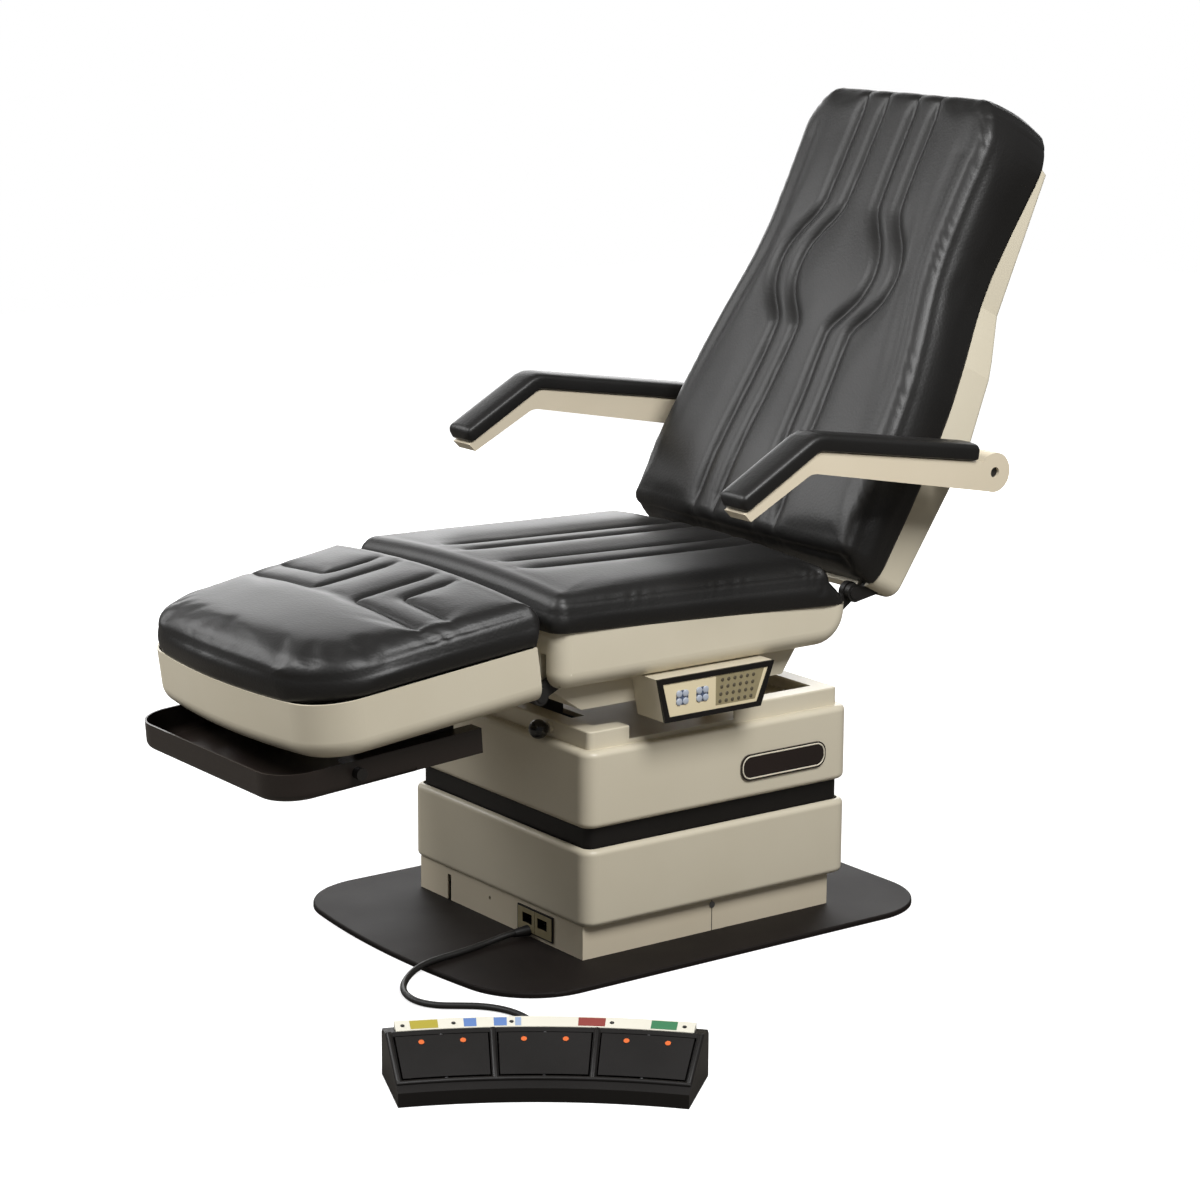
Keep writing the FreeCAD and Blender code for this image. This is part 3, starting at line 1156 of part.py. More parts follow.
def arm_pad(label, side):
    """Padded rest along the top of the bar, with rounded upper edges."""
    body = new_body(label)
    low, high = span(side, S.arm_in - S.pad_over, S.arm_out + S.pad_over)
    thick = S.pad_thick
    heel = S.arm_boss * 1.1
    start = S.arm_y - heel
    slope = (S.bend_top - S.rear_top) / (S.arm_y - S.arm_boss * 0.6 - S.bend_y)
    start_z = S.rear_top + slope * (heel - S.arm_boss * 0.6)
    lean = thick * 0.45
    rest = [(start, start_z), (start - 4, start_z + thick), (S.bend_y + 7, S.bend_top + thick),
            (-S.tip_y - lean, S.tip_top + thick * 0.8), (-S.tip_y, S.tip_top), (S.bend_y, S.bend_top)]
    pad(body, "x", rest, low, high)
    top_edge = lambda edge: abs(abs(edge.CenterOfMass.x) - (mm(S.arm_in) + mm(S.arm_out)) / 2) > 20
    upper = lambda edge: (not runs_along(edge, "x") and top_edge(edge) and edge.CenterOfMass.z > rest_line(edge))
    round_edges(body, S.pad_round, upper)


def rest_line(edge):
    """Height half way up the pad, above the bar's top line at an edge's place along the arm."""
    y = edge.CenterOfMass.y
    if y > mm(S.bend_y):
        share = (y - mm(S.bend_y)) / (mm(S.arm_y) - mm(S.bend_y))
        top = mm(S.bend_top) + share * (mm(S.rear_top) - mm(S.bend_top))
    else:
        share = (mm(S.bend_y) - y) / (mm(S.bend_y) + mm(S.tip_y))
        top = mm(S.bend_top) + share * (mm(S.tip_top) - mm(S.bend_top))
    return top + mm(S.pad_thick) * 0.55


def armrests():
    """Left and right armrest: bar and pad."""
    for name, side in (("left", 1), ("right", -1)):
        arm_bar(f"arm_bar_{name}", side)
        arm_pad(f"arm_pad_{name}", side)


# Foot section and tray, each in its own frame

def foot_outline(inset):
    """Plan of the foot section: tapered sides and a bowed front."""
    rear, front = -S.foot_rear - inset, inset - S.foot_side
    return [(-S.foot_half_front + inset, front, S.foot_bow), (S.foot_half_front - inset, front),
            (S.foot_half - inset, rear), (-S.foot_half + inset, rear)]


def foot_shroud():
    """Painted tub under the foot cushion, cut out for its hinge arms and crank."""
    body = new_body("foot_shroud")
    low, rim = -S.foot_low, S.foot_rim
    pad(body, "z", foot_outline(size_of(0)), low, rim)
    front_corners = lambda edge: upright(edge) and edge.CenterOfMass.y < -mm(S.foot_side) / 2
    round_edges(body, S.foot_corner, front_corners)
    rear = -mm(S.foot_rear)
    bottom = lambda edge: lies_at(edge, low) and not faces_y(edge, rear)
    round_edges(body, S.foot_edge, bottom)
    hollow(body, S.foot_wall, lambda face: lies_at(face, rim))
    wall = (-S.foot_rear - S.foot_wall - 6, -S.foot_rear + 1)
    for side in (1, -1):
        x = span(side, S.rail_in + S.rail_thick - 2, S.rail_in + S.rail_thick * 2 + 4)
        pocket(body, "y", rectangle(*x, low - 1, S.foot_lug + 8), *wall)
    half = S.eye_half + S.cheek_gap + S.crank_thick + 4
    pocket(body, "y", rectangle(S.drive_x - half, S.drive_x + half, low - 1, S.crank + 12), *wall)
    place(body, FOOT_FRAME)


def foot_frame():
    """Base plate of the foot section with hinge arms and the crank that the actuator pulls."""
    body = new_body("foot_frame")
    low = S.foot_wall - S.foot_low
    high = low + S.plate_six
    inner = S.rail_in + S.rail_thick + S.lug_space
    outer = inner + S.rail_thick
    plate_front = S.foot_corner - S.foot_side
    rear = -S.foot_rear - 12
    pad(body, "z", rectangle(-S.frame_half, S.frame_half, plate_front, rear), low, high)
    pad(body, "z", rectangle(-inner, inner, rear - S.frame_bar, rear), low, high)
    arm = [(size_of(2), 1 - S.foot_lug), (size_of(-2), S.foot_lug - 1), (rear - 25, S.foot_lug - 5),
           (rear - 25, low + 1), (-S.foot_rear + 1, low + 1)]
    for side in (1, -1):
        x = span(side, inner, outer)
        pad(body, "x", list(reversed(arm)), *x)
        pad_round(body, "x", (0, 0), S.foot_lug, *x)
        bore(body, "x", (0, 0), S.foot_pin + S.run_gap, *x)
    pin = foot_crank_pin()
    reach = S.crank_half * 0.9
    crank = [(pin[0] + reach, pin[1] - 3), (pin[0] - 3, pin[1] + reach), (rear, S.crank - 12), (rear - 35, high),
             (rear - 35, low), (rear + 2, low)]
    add_crank(body, S.drive_x, pin, crank)
    place(body, FOOT_FRAME)


def foot_cushion():
    """Crowned foot cushion with a bowed front and nested chevron channels at each side."""
    half, narrow, crown = mm(S.foot_half), mm(S.foot_half_front), mm(S.foot_crown)
    rear, front, bow = -mm(S.foot_rear), -mm(S.foot_side), mm(S.foot_bow)
    low = mm(S.foot_rim)
    side, turn = low + mm(S.foot_cushion), mm(S.foot_round)
    top = side + crown
    tip = front - bow
    corner = mm(S.foot_corner)
    plan = profile([(Vec(-narrow, front, low), bow), (Vec(narrow, front, low), -3), (Vec(half, rear, low), 0),
                    (Vec(-half, rear, low), -3)], Vec(0, 0, top - low))
    fronts = [edge for edge in plan.Edges if upright(edge) and edge.CenterOfMass.y < front / 2]
    plan = plan.makeFillet(corner, fronts)
    bulge = turn * 0.2
    wide, nose = half + 1, tip - 1
    across = profile([(Vec(-wide, nose, low), 0), (Vec(wide, nose, low), 0), (Vec(wide, nose, side - turn), bulge),
                      (Vec(wide - turn, nose, side), crown), (Vec(turn - wide, nose, side), bulge),
                      (Vec(-wide, nose, side - turn), 0)], Vec(0, rear - nose, 0))
    length = profile([(Vec(-wide, nose, low), 0), (Vec(-wide, nose, side - turn), bulge * 2),
                      (Vec(-wide, nose + turn * 2.5, top + 1), 0), (Vec(-wide, rear - turn * 2, top + 1), bulge * 2),
                      (Vec(-wide, rear, side - turn), 0), (Vec(-wide, rear, low), 0)],
                     Vec(2 * wide, 0, 0))
    shape = common([plan, across, length])
    deep, wide = mm(S.channel_deep), mm(S.channel_wide) / 2
    reach, out = mm(S.chevron_reach), mm(S.chevron_side)
    for x, long in ((mm(S.channel_in), reach), (mm(S.channel_out), reach - mm(S.channel_in))):
        lengthwise = top - crown * (x / half) ** 2 - deep
        crosswise = top - crown * (out * 0.8 / half) ** 2 - deep
        for sign in (1, -1):
            leg = [Vec(sign * x, rear - 22, lengthwise), Vec(sign * x, rear - long, lengthwise)]
            shape = shape.cut(strip(leg, wide, Vec(), Vec(0, 0, deep + crown)))
            turned = [Vec(sign * (x - wide), rear - long, lengthwise), Vec(sign * out, rear - long, crosswise)]
            shape = shape.cut(strip(turned, wide, Vec(), Vec(0, 0, deep + crown)))
    shaped_piece("foot_cushion", shape, FOOT_FRAME)


def tray():
    """Pull-out tray: a shallow basin with side rails and a flange that hangs in the runners."""
    body = new_body("tray")
    half, wall = S.tray_half, S.tray_wall
    pad(body, "z", rectangle(-half, half, -S.tray_long, -S.basin_rear), -S.tray_high, 0)
    fronts = lambda edge: upright(edge) and edge.CenterOfMass.y < -mm(S.tray_long) / 2 - 60
    round_edges(body, S.tray_corner, fronts)
    rear = -mm(S.basin_rear)
    round_edges(body, S.tray_edge, lambda edge: lies_at(edge, -S.tray_high) and not faces_y(edge, rear))
    hollow(body, wall, lambda face: lies_at(face, size_of(0)))
    inside = half - S.rail_wide
    rear_wall = (-S.basin_rear - wall - 1, 1 - S.basin_rear)
    pocket(body, "y", rectangle(-inside, inside, -S.flange_thick * 3, 1), *rear_wall)
    for side in (1, -1):
        x = span(side, half - S.rail_wide, half)
        pad(body, "x", rectangle(-S.basin_rear - wall, 0, -S.rail_deep, 0), *x)
        x = span(side, half - S.rail_wide - S.flange_wide, half - wall)
        pad(body, "x", rectangle(-S.flange_long, 0, -S.flange_thick, 0), *x)
    x = (half - S.rail_wide - 1, half + 1)
    bore(body, "x", (-S.lock_y, -S.lock_z), S.lock_stem + S.run_gap, *x)
    place(body, TRAY_FRAME)


def tray_runners():
    """Hooked runners below the foot shroud that the tray's flanges slide in."""
    outer = S.tray_half - S.rail_wide - S.rest_gap * 4
    inner = S.tray_half - S.rail_wide - S.flange_wide - S.rest_gap * 4
    y = (-S.runner_long - S.runner_rear, -S.runner_rear)
    under = -S.flange_thick - S.rest_gap
    hooks = []
    for side in (1, -1):
        ledge = box("ledge", span(side, inner - S.runner_web, outer), y, (under - S.flange_thick, under))
        web = box("web", span(side, inner - S.runner_web, inner), y, (under, S.runner_high))
        hooks.append(boolean("Fuse", "hook", ledge, web))
    pair = group("hooks", hooks)
    pair.Placement = TRAY_FRAME
    reach = S.foot_half * 2
    above = box("above", (-reach, reach), (-reach, reach), (-S.foot_low, S.foot_half))
    solid_above = group("solid", [above])
    solid_above.Placement = FOOT_FRAME
    piece("tray_runners", boolean("Cut", "runners", pair, solid_above))


def tray_lock():
    """Small clamp knob outside the tray's left rail."""
    centre = (-S.lock_y, -S.lock_z)
    low = S.tray_half + S.rest_gap
    head = rod("head", "x", centre, S.lock_radius, low, low + S.lock_long)
    stem = rod("stem", "x", centre, S.lock_stem, S.tray_half - S.tray_wall - 2, low)
    knob = boolean("Fuse", "knob", head, stem)
    knob.Placement = TRAY_FRAME
    piece("tray_lock_knob", knob)


# Foot control: a wedge swept about a centre in front of it

CONTROL_FRAME = FreeCAD.Placement(Vec(mm(S.control_x), mm(S.control_y), 0),
                                  FreeCAD.Rotation(UPWARD, mm(S.control_turn)))
CONTROL_AXIS = Vec(0, mm(S.control_rear - S.control_outer), 0)


def swept(points, start, sweep):
    """A section of radius and height pairs, turned about the control's axis through an angle."""
    corners = [CONTROL_AXIS + Vec(0, radius, height) for radius, height in points]
    face = Part.Face(Part.makePolygon(corners + corners[:1]))
    face.rotate(CONTROL_AXIS, UPWARD, start)
    return face.revolve(CONTROL_AXIS, UPWARD, sweep)


def control_section():
    """Corners of the wedge, and the lower and upper end of the sloped pedal face."""
    outer, inner = mm(S.control_outer), mm(S.control_outer - S.control_deep)
    high = mm(S.control_high)
    nose = (inner + mm(S.control_nose), mm(S.control_lip + S.control_step))
    crest = (outer - mm(S.control_strip), high)
    corners = [(inner, 0), (outer, 0), (outer, mm(S.control_back)),
               (outer - (high - mm(S.control_back)), high), crest, nose, (inner, mm(S.control_lip))]
    return corners, nose, crest


def slope_point(along, deep):
    """A point along the pedal slope from its nose, and that deep under it."""
    corners, nose, crest = control_section()
    run, rise = crest[0] - nose[0], crest[1] - nose[1]
    length = math.hypot(run, rise)
    forward = (run / length, rise / length)
    return (nose[0] + along * forward[0] + deep * forward[1], nose[1] + along * forward[1] - deep * forward[0])


def slope_length():
    """Length of the pedal slope from nose to crest."""
    corners, nose, crest = control_section()
    return math.hypot(crest[0] - nose[0], crest[1] - nose[1])


def bay_angles():
    """Angle of one well, and the middle of each of the three."""
    whole, rib = 2 * mm(S.control_half_angle), mm(S.rib_angle)
    well = (whole - 4 * rib) / 3
    return well, [(well + rib) * place for place in (1, 0, -1)]


def slope_rod(radius, start, end, deep, angle):
    """A cylinder along the pedal slope at a bay angle."""
    low, high = slope_point(start, deep), slope_point(end, deep)
    first = CONTROL_AXIS + Vec(0, *low)
    last = CONTROL_AXIS + Vec(0, *high)
    shape = Part.makeCylinder(radius, (last - first).Length, first, last - first)
    shape.rotate(CONTROL_AXIS, UPWARD, angle)
    return shape


def foot_control():
    """Housing with three wells, pedals with lenses, pivots and the colour label strip."""
    corners, nose, crest = control_section()
    half, outer = mm(S.control_half_angle), mm(S.control_outer)
    shape = swept(corners, -half, 2 * half)
    well, middles = bay_angles()
    length, rim = slope_length(), mm(S.well_rim)
    deep, gap = mm(S.well_deep), mm(S.pedal_gap)
    gap_angle = math.degrees(gap / outer)
    proud, thick = mm(S.pedal_proud), mm(S.pedal_thick)
    pivots = []
    for number, middle in enumerate(middles, start=1):
        room = [slope_point(rim, -deep), slope_point(length - rim, -deep),
                slope_point(length - rim, deep), slope_point(rim, deep)]
        shape = shape.cut(swept(room, middle - well / 2, well))
        rest = [slope_point(rim + gap, -proud), slope_point(length - rim - gap, -proud),
                slope_point(length - rim - gap, thick), slope_point(rim + gap, thick)]
        pedal = swept(rest, middle - well / 2 + gap_angle, well - 2 * gap_angle)
        pins = pedal_pins(middle, mm(S.pivot_radius))
        for hole in pedal_pins(middle, mm(S.pivot_radius + S.run_gap)):
            pedal = pedal.cut(hole)
        lenses = pedal_lenses(middle)
        for lens in lenses:
            pedal = pedal.cut(lens)
        pivots.extend(pins)
        shaped_piece(f"pedal_{number}", pedal, CONTROL_FRAME)
        shaped_piece(f"pedal_lenses_{number}", Part.makeCompound(lenses), CONTROL_FRAME)
    shaped_piece("foot_control_housing", shape, CONTROL_FRAME)
    shaped_piece("pedal_pivots", Part.makeCompound(pivots), CONTROL_FRAME)
    strip_in, strip_out = crest[0] + 2, outer - mm(S.control_high - S.control_back) - 2
    high = mm(S.control_high)
    label = [(strip_in, high), (strip_out, high), (strip_out, high + mm(S.label_thick)),
             (strip_in, high + mm(S.label_thick))]
    shaped_piece("foot_control_label", swept(label, 1 - half, 2 * half - 2), CONTROL_FRAME)


def pedal_pins(middle, radius):
    """The two short pivots of a pedal, from the walls of its well."""
    length, rim, long = slope_length(), mm(S.well_rim), mm(S.pivot_long)
    deep = mm(S.pivot_deep)
    return [slope_rod(radius, rim, rim + long, deep, middle),
            slope_rod(radius, length - rim - long, length - rim, deep, middle)]


def pedal_lenses(middle):
    """Two small round lenses set into a pedal's face."""
    length, rim = slope_length(), mm(S.well_rim)
    along = length - rim - mm(S.lens_up)
    low, high = slope_point(along, mm(S.pedal_thick) / 2), slope_point(along, -mm(S.pedal_proud + S.lens_proud))
    first = CONTROL_AXIS + Vec(0, *low)
    last = CONTROL_AXIS + Vec(0, *high)
    lenses = []
    for side in (1, -1):
        lens = Part.makeCylinder(mm(S.lens_radius), (last - first).Length, first, last - first)
        lens.rotate(CONTROL_AXIS, UPWARD, middle + side * mm(S.lens_angle))
        lenses.append(lens)
    return lenses


# Cord and its strain reliefs

def relief_ends():
    """Where the foot control's strain relief starts and ends, in the chair's frame."""
    turn = math.radians(mm(S.relief_angle))
    outward = Vec(-math.sin(turn), math.cos(turn), 0)
    start = CONTROL_AXIS + outward * mm(S.control_outer) + Vec(0, 0, mm(S.relief_z))
    end = start + outward * mm(S.relief_long)
    return CONTROL_FRAME.multVec(start), CONTROL_FRAME.multVec(end)


def strain_reliefs():
    """Tapered sleeves where the cord leaves the plinth and enters the foot control."""
    face = -S.plinth_front
    centre = (S.gland_x, S.gland_z)
    reach = (face - S.gland_long, face - S.inlet_proud)
    piece("cord_gland", rod("gland", "y", centre, S.gland_tip, *reach, S.gland_radius))
    start, end = relief_ends()
    sleeve = Part.makeCone(mm(S.gland_radius), mm(S.gland_tip), mm(S.relief_long), start, end - start)
    overlap = PIECES["foot_control_housing"].Shape
    shaped_piece("control_relief", sleeve.cut(overlap))


def cord_path(points):
    """Straight runs joined by arcs as large as the runs allow, with each arc's radius."""
    edges, radii = [], []
    last = points[0]
    for before, corner, after in zip(points, points[1:], points[2:]):
        into, out = (corner - before), (after - corner)
        shorter = min(into.Length, out.Length)
        turn = into.getAngle(out)
        trim = 0.45 * shorter
        radii.append(trim / math.tan(turn / 2))
        start = corner - into.normalize() * trim
        end = corner + out.normalize() * trim
        bisector = (start + end) * 0.5 - corner
        to_centre = math.hypot(radii[-1], trim)
        middle = corner + bisector.normalize() * (to_centre - radii[-1])
        edges.append(Part.LineSegment(last, start).toShape())
        edges.append(Part.Arc(start, middle, end).toShape())
        last = end
    edges.append(Part.LineSegment(last, points[-1]).toShape())
    return Part.Wire(edges), radii


def foot_control_cord():
    """Round cord along the floor from the gland to the foot control."""
    start, end = relief_ends()
    lead = end + (end - start).normalize() * mm(S.cord_lead)
    points = [Vec(*point) for point in CORD_ROUTE] + [lead, end]
    wire, radii = cord_path(points)
    radius = mm(S.cord_radius)
    section = Part.Wire(Part.makeCircle(radius, points[0], points[1] - points[0]))
    shape = wire.makePipeShell([section], True, False)
    ideal = math.pi * radius ** 2 * wire.Length
    print("cord radii", [round(value) for value in radii])
    print("cord length", round(wire.Length), "volume share", round(shape.Volume / ideal, 4))
    shaped_piece("foot_control_cord", shape)


def build():
    """Make every piece of the chair."""
    base_plate()
    plinth()
    power_inlet()
    lower_cover()
    upper_cover()
    shroud_stage("shroud_stage_outer", S.stage_inset)
    shroud_stage("shroud_stage_inner", S.stage_inset + S.stage_wall + S.stage_gap)
    lift_column()
    drive_units()
    carriage_plate()
    tilt_shaft()
    tilt_actuator()
    badge()
    release_knob()
    seat_shroud()
    underseat_pan()
    seat_frame()
    hinge_pins()
    drives()
    control_panel()
    seat_cushion()
    back_shell()
    place(PIECES["back_shell"], BACK_FRAME)
    back_frame()
    back_cushion()
    arm_shafts()
    armrests()
    foot_shroud()
    foot_frame()
    foot_cushion()
    tray()
    tray_runners()
    tray_lock()
    foot_control()
    strain_reliefs()
    foot_control_cord()


def drives():
    """The back's actuator and the foot section's, side by side in the seat shroud."""
    back_pin = (S.back_y.number + mm(S.crank) * math.sin(math.radians(mm(S.crank_lead))))
    back_text = "(Sizes.back_y + Sizes.crank * sin(Sizes.crank_lead))"
    back_rod_z = S.back_z - S.crank + S.eye_high / 4
    drive_actuator("back_actuator", -S.drive_x, 1, back_rod_z)
    drive_rod("back_rod", -S.drive_x, 1, back_rod_z, Size(back_pin, back_text))
    foot_pin = (mm(S.crank) * math.sin(math.radians(mm(S.foot_crank_lead))) - mm(S.foot_y))
    foot_text = "(Sizes.crank * sin(Sizes.foot_crank_lead) - Sizes.foot_y)"
    foot_rod_z = S.foot_z + S.crank - S.eye_high / 4
    drive_actuator("foot_actuator", S.drive_x, -1, foot_rod_z)
    drive_rod("foot_rod", S.drive_x, -1, foot_rod_z, Size(foot_pin, foot_text))


def check_and_write():
    """Stop at any failed object or bad shape, then write one file for each piece."""
    DOC.recompute()
    failed = [item for item in DOC.Objects if "Invalid" in item.State or "Error" in item.State]
    names = [f"{item.Label} of {owner.Label}" for item in failed for owner in item.InList[:1]]
    for label, item in PIECES.items():
        if item.Shape.isNull() or not item.Shape.isValid() or not item.Shape.Solids:
            names.append(f"{label} without a valid solid")
    if failed or names:
        raise RuntimeError("failed: " + ", ".join(names))
    os.makedirs("parts", exist_ok=True)
    for label, item in PIECES.items():
        item.Shape.exportStep(f"parts/{label}.step")
    print(len(PIECES), "pieces written")


build()
check_and_write()
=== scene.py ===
"""Looks of the podiatry chair: upholstery, finishes, small fittings, light and camera.

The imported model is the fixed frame. The cushions, the arm pads, the cord and the small fittings
are made here; every other piece keeps its shape and gets a finish. Sizes are in millimetres, and
those of the studio in metres.
"""

from __future__ import annotations

import json
import logging
import math
from dataclasses import dataclass, field
from enum import Enum
from typing import Any, Callable, Sequence

import bmesh
import bpy
import numpy as np
from mathutils import Matrix, Vector

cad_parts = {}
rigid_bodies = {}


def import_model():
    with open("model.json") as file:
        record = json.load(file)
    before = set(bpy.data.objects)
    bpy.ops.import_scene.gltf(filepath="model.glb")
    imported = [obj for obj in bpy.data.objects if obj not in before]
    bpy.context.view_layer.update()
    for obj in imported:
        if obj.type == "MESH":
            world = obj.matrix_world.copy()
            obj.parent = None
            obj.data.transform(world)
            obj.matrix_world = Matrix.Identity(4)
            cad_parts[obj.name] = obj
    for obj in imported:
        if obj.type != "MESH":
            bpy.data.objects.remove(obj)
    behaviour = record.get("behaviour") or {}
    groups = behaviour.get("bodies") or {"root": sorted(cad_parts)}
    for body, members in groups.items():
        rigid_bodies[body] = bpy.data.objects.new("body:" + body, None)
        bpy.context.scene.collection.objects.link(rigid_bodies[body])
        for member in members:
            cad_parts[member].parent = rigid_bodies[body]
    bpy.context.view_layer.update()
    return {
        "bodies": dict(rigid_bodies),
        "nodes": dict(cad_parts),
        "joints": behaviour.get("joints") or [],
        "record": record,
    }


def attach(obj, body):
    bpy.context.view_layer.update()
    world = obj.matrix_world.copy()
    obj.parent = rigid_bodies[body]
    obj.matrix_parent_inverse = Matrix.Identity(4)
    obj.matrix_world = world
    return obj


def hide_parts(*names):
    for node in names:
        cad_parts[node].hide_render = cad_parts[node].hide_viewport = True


LOG = logging.getLogger("podiatry_chair")
MM = 0.001
TINY = 1e-9
WHITE = (1, 1, 1, 1)
SIDES = (1, -1)
# Places of a rectangle's corners, in order, in its left, right, low and high.
CORNERS = ((0, 2), (1, 2), (1, 3), (0, 3))

Array = np.ndarray
Piece = bpy.types.Object
NodeTree = bpy.types.NodeTree
Socket = bpy.types.NodeSocket
Pair = tuple[float, float]
Spot = tuple[float, float, float]
Points = Sequence[Pair]
Outline = tuple[Pair, ...]
Axes = tuple[tuple[int, int], ...]
Rows = Sequence[Sequence[Sequence[float]]]
Form = tuple[list[Any], list[tuple[int, ...]]]


def linear(hex_text: str) -> tuple[float, ...]:
    """Turn an sRGB hex value, six digits after a hash, into opaque linear colour."""
    parts = [int(hex_text[place:place + 2], 16) / 255 for place in (1, 3, 5)]
    return (*(c / 12.92 if c <= 0.04045 else ((c + 0.055) / 1.055) ** 2.4 for c in parts), 1.0)


def set_node(tree: NodeTree, kind: str, values: dict[Any, Any] | None = None,
             links: dict[Any, Socket] | None = None, **settings: Any) -> bpy.types.Node:
    """Set up a node that is there or a new one.

    Args:
        tree: Node tree that holds the node.
        kind: Name of a node that is there, or type of a new one.
        values: Socket values by socket name or number.
        links: Output sockets by the name or number of the input they feed.
        settings: Properties of the node itself.

    Returns:
        The node.
    """
    node = tree.nodes.get(kind) or tree.nodes.new(kind)
    for name, value in settings.items():
        setattr(node, name, value)
    for name, value in (values or {}).items():
        node.inputs[name].default_value = value
    for name, source in (links or {}).items():
        tree.links.new(source, node.inputs[name])
    return node


def noise(tree: NodeTree, place: Socket, scale: float, detail: float) -> Socket:
    """Add a noise texture and return the socket with its value."""
    values = {"Scale": scale, "Detail": detail}
    return set_node(tree, "ShaderNodeTexNoise", values, {"Vector": place}).outputs["Fac"]


class Surface(Enum):
    """How a surface was made, which sets the relief that it shows."""

    EMBOSSED = "embossed leather grain"
    POWDERED = "powder coat with a fine orange peel"
    MOULDED = "spark-eroded mould grain"
    GROUND = "fine lines of a grinding belt"
    POLISHED = "smooth, with faint handling marks"


@dataclass(frozen=True)
class Finish:
    """One real material: its colours, its gloss and the relief of its surface."""

    name: str
    colour: str
    shade: str
    surface: Surface
    roughness: float
    grain: float
    relief: float
    mottle: float = 140.0
    metallic: float = 0.0
    ior: float = 1.5
    coat: float = 0.0
    coat_roughness: float = 0.25
    spread: float = 0.08

    def material(self) -> bpy.types.Material:
        """Build the node material once and return it on every later call.

        Returns:
            The material of this finish.
        """
        found = bpy.data.materials.get(self.name)
        if found:
            return found
        material = bpy.data.materials.new(self.name)
        material.use_nodes = True
        material.diffuse_color = linear(self.colour)
        tree = material.node_tree
        place = set_node(tree, "ShaderNodeTexCoord").outputs["Object"]
        cloud = noise(tree, place, 1 / (self.mottle * MM), 4.0)
        mix = set_node(tree, "ShaderNodeMix", {6: linear(self.colour), 7: linear(self.shade)}, {0: cloud},
                       data_type="RGBA")
        gloss = set_node(tree, "ShaderNodeMapRange", {"To Min": max(self.roughness - self.spread, 0.02),
                                                      "To Max": self.roughness + self.spread},
                         {"Value": cloud})
        bump = set_node(tree, "ShaderNodeBump", {"Distance": self.relief * MM, "Strength": 1.0},
                        {"Height": self.height(tree, place)})
        values = {"Metallic": self.metallic, "Coat Weight": self.coat, "Coat Roughness": self.coat_roughness}
        if not self.metallic:
            values["IOR"] = self.ior
        set_node(tree, "Principled BSDF", values,
                 {"Base Color": mix.outputs[2], "Roughness": gloss.outputs["Result"],
                  "Normal": bump.outputs["Normal"]})
        return material

    def height(self, tree: NodeTree, place: Socket) -> Socket:
        """Add the nodes of the surface relief.

        Args:
            tree: Node tree of the material.
            place: Socket with the place on the object, in metres.

        Returns:
            The socket that carries the relief's height.
        """
        scale = 1 / (self.grain * MM)
        if self.surface is Surface.EMBOSSED:
            cells = set_node(tree, "ShaderNodeTexVoronoi", {"Scale": scale, "Randomness": 0.9},
                             {"Vector": place}, feature="SMOOTH_F1")
            sources = {0: noise(tree, place, scale / 9, 3.0), 1: cells.outputs["Distance"]}
            return set_node(tree, "ShaderNodeMath", {}, sources, operation="ADD").outputs[0]
        if self.surface is Surface.GROUND:
            drawn = set_node(tree, "ShaderNodeMapping", {"Scale": (1.0, 0.04, 1.0)}, {"Vector": place})
            return noise(tree, drawn.outputs["Vector"], scale, 2.0)
        return noise(tree, place, scale, 1.0 if self.surface is Surface.POLISHED else 6.0)


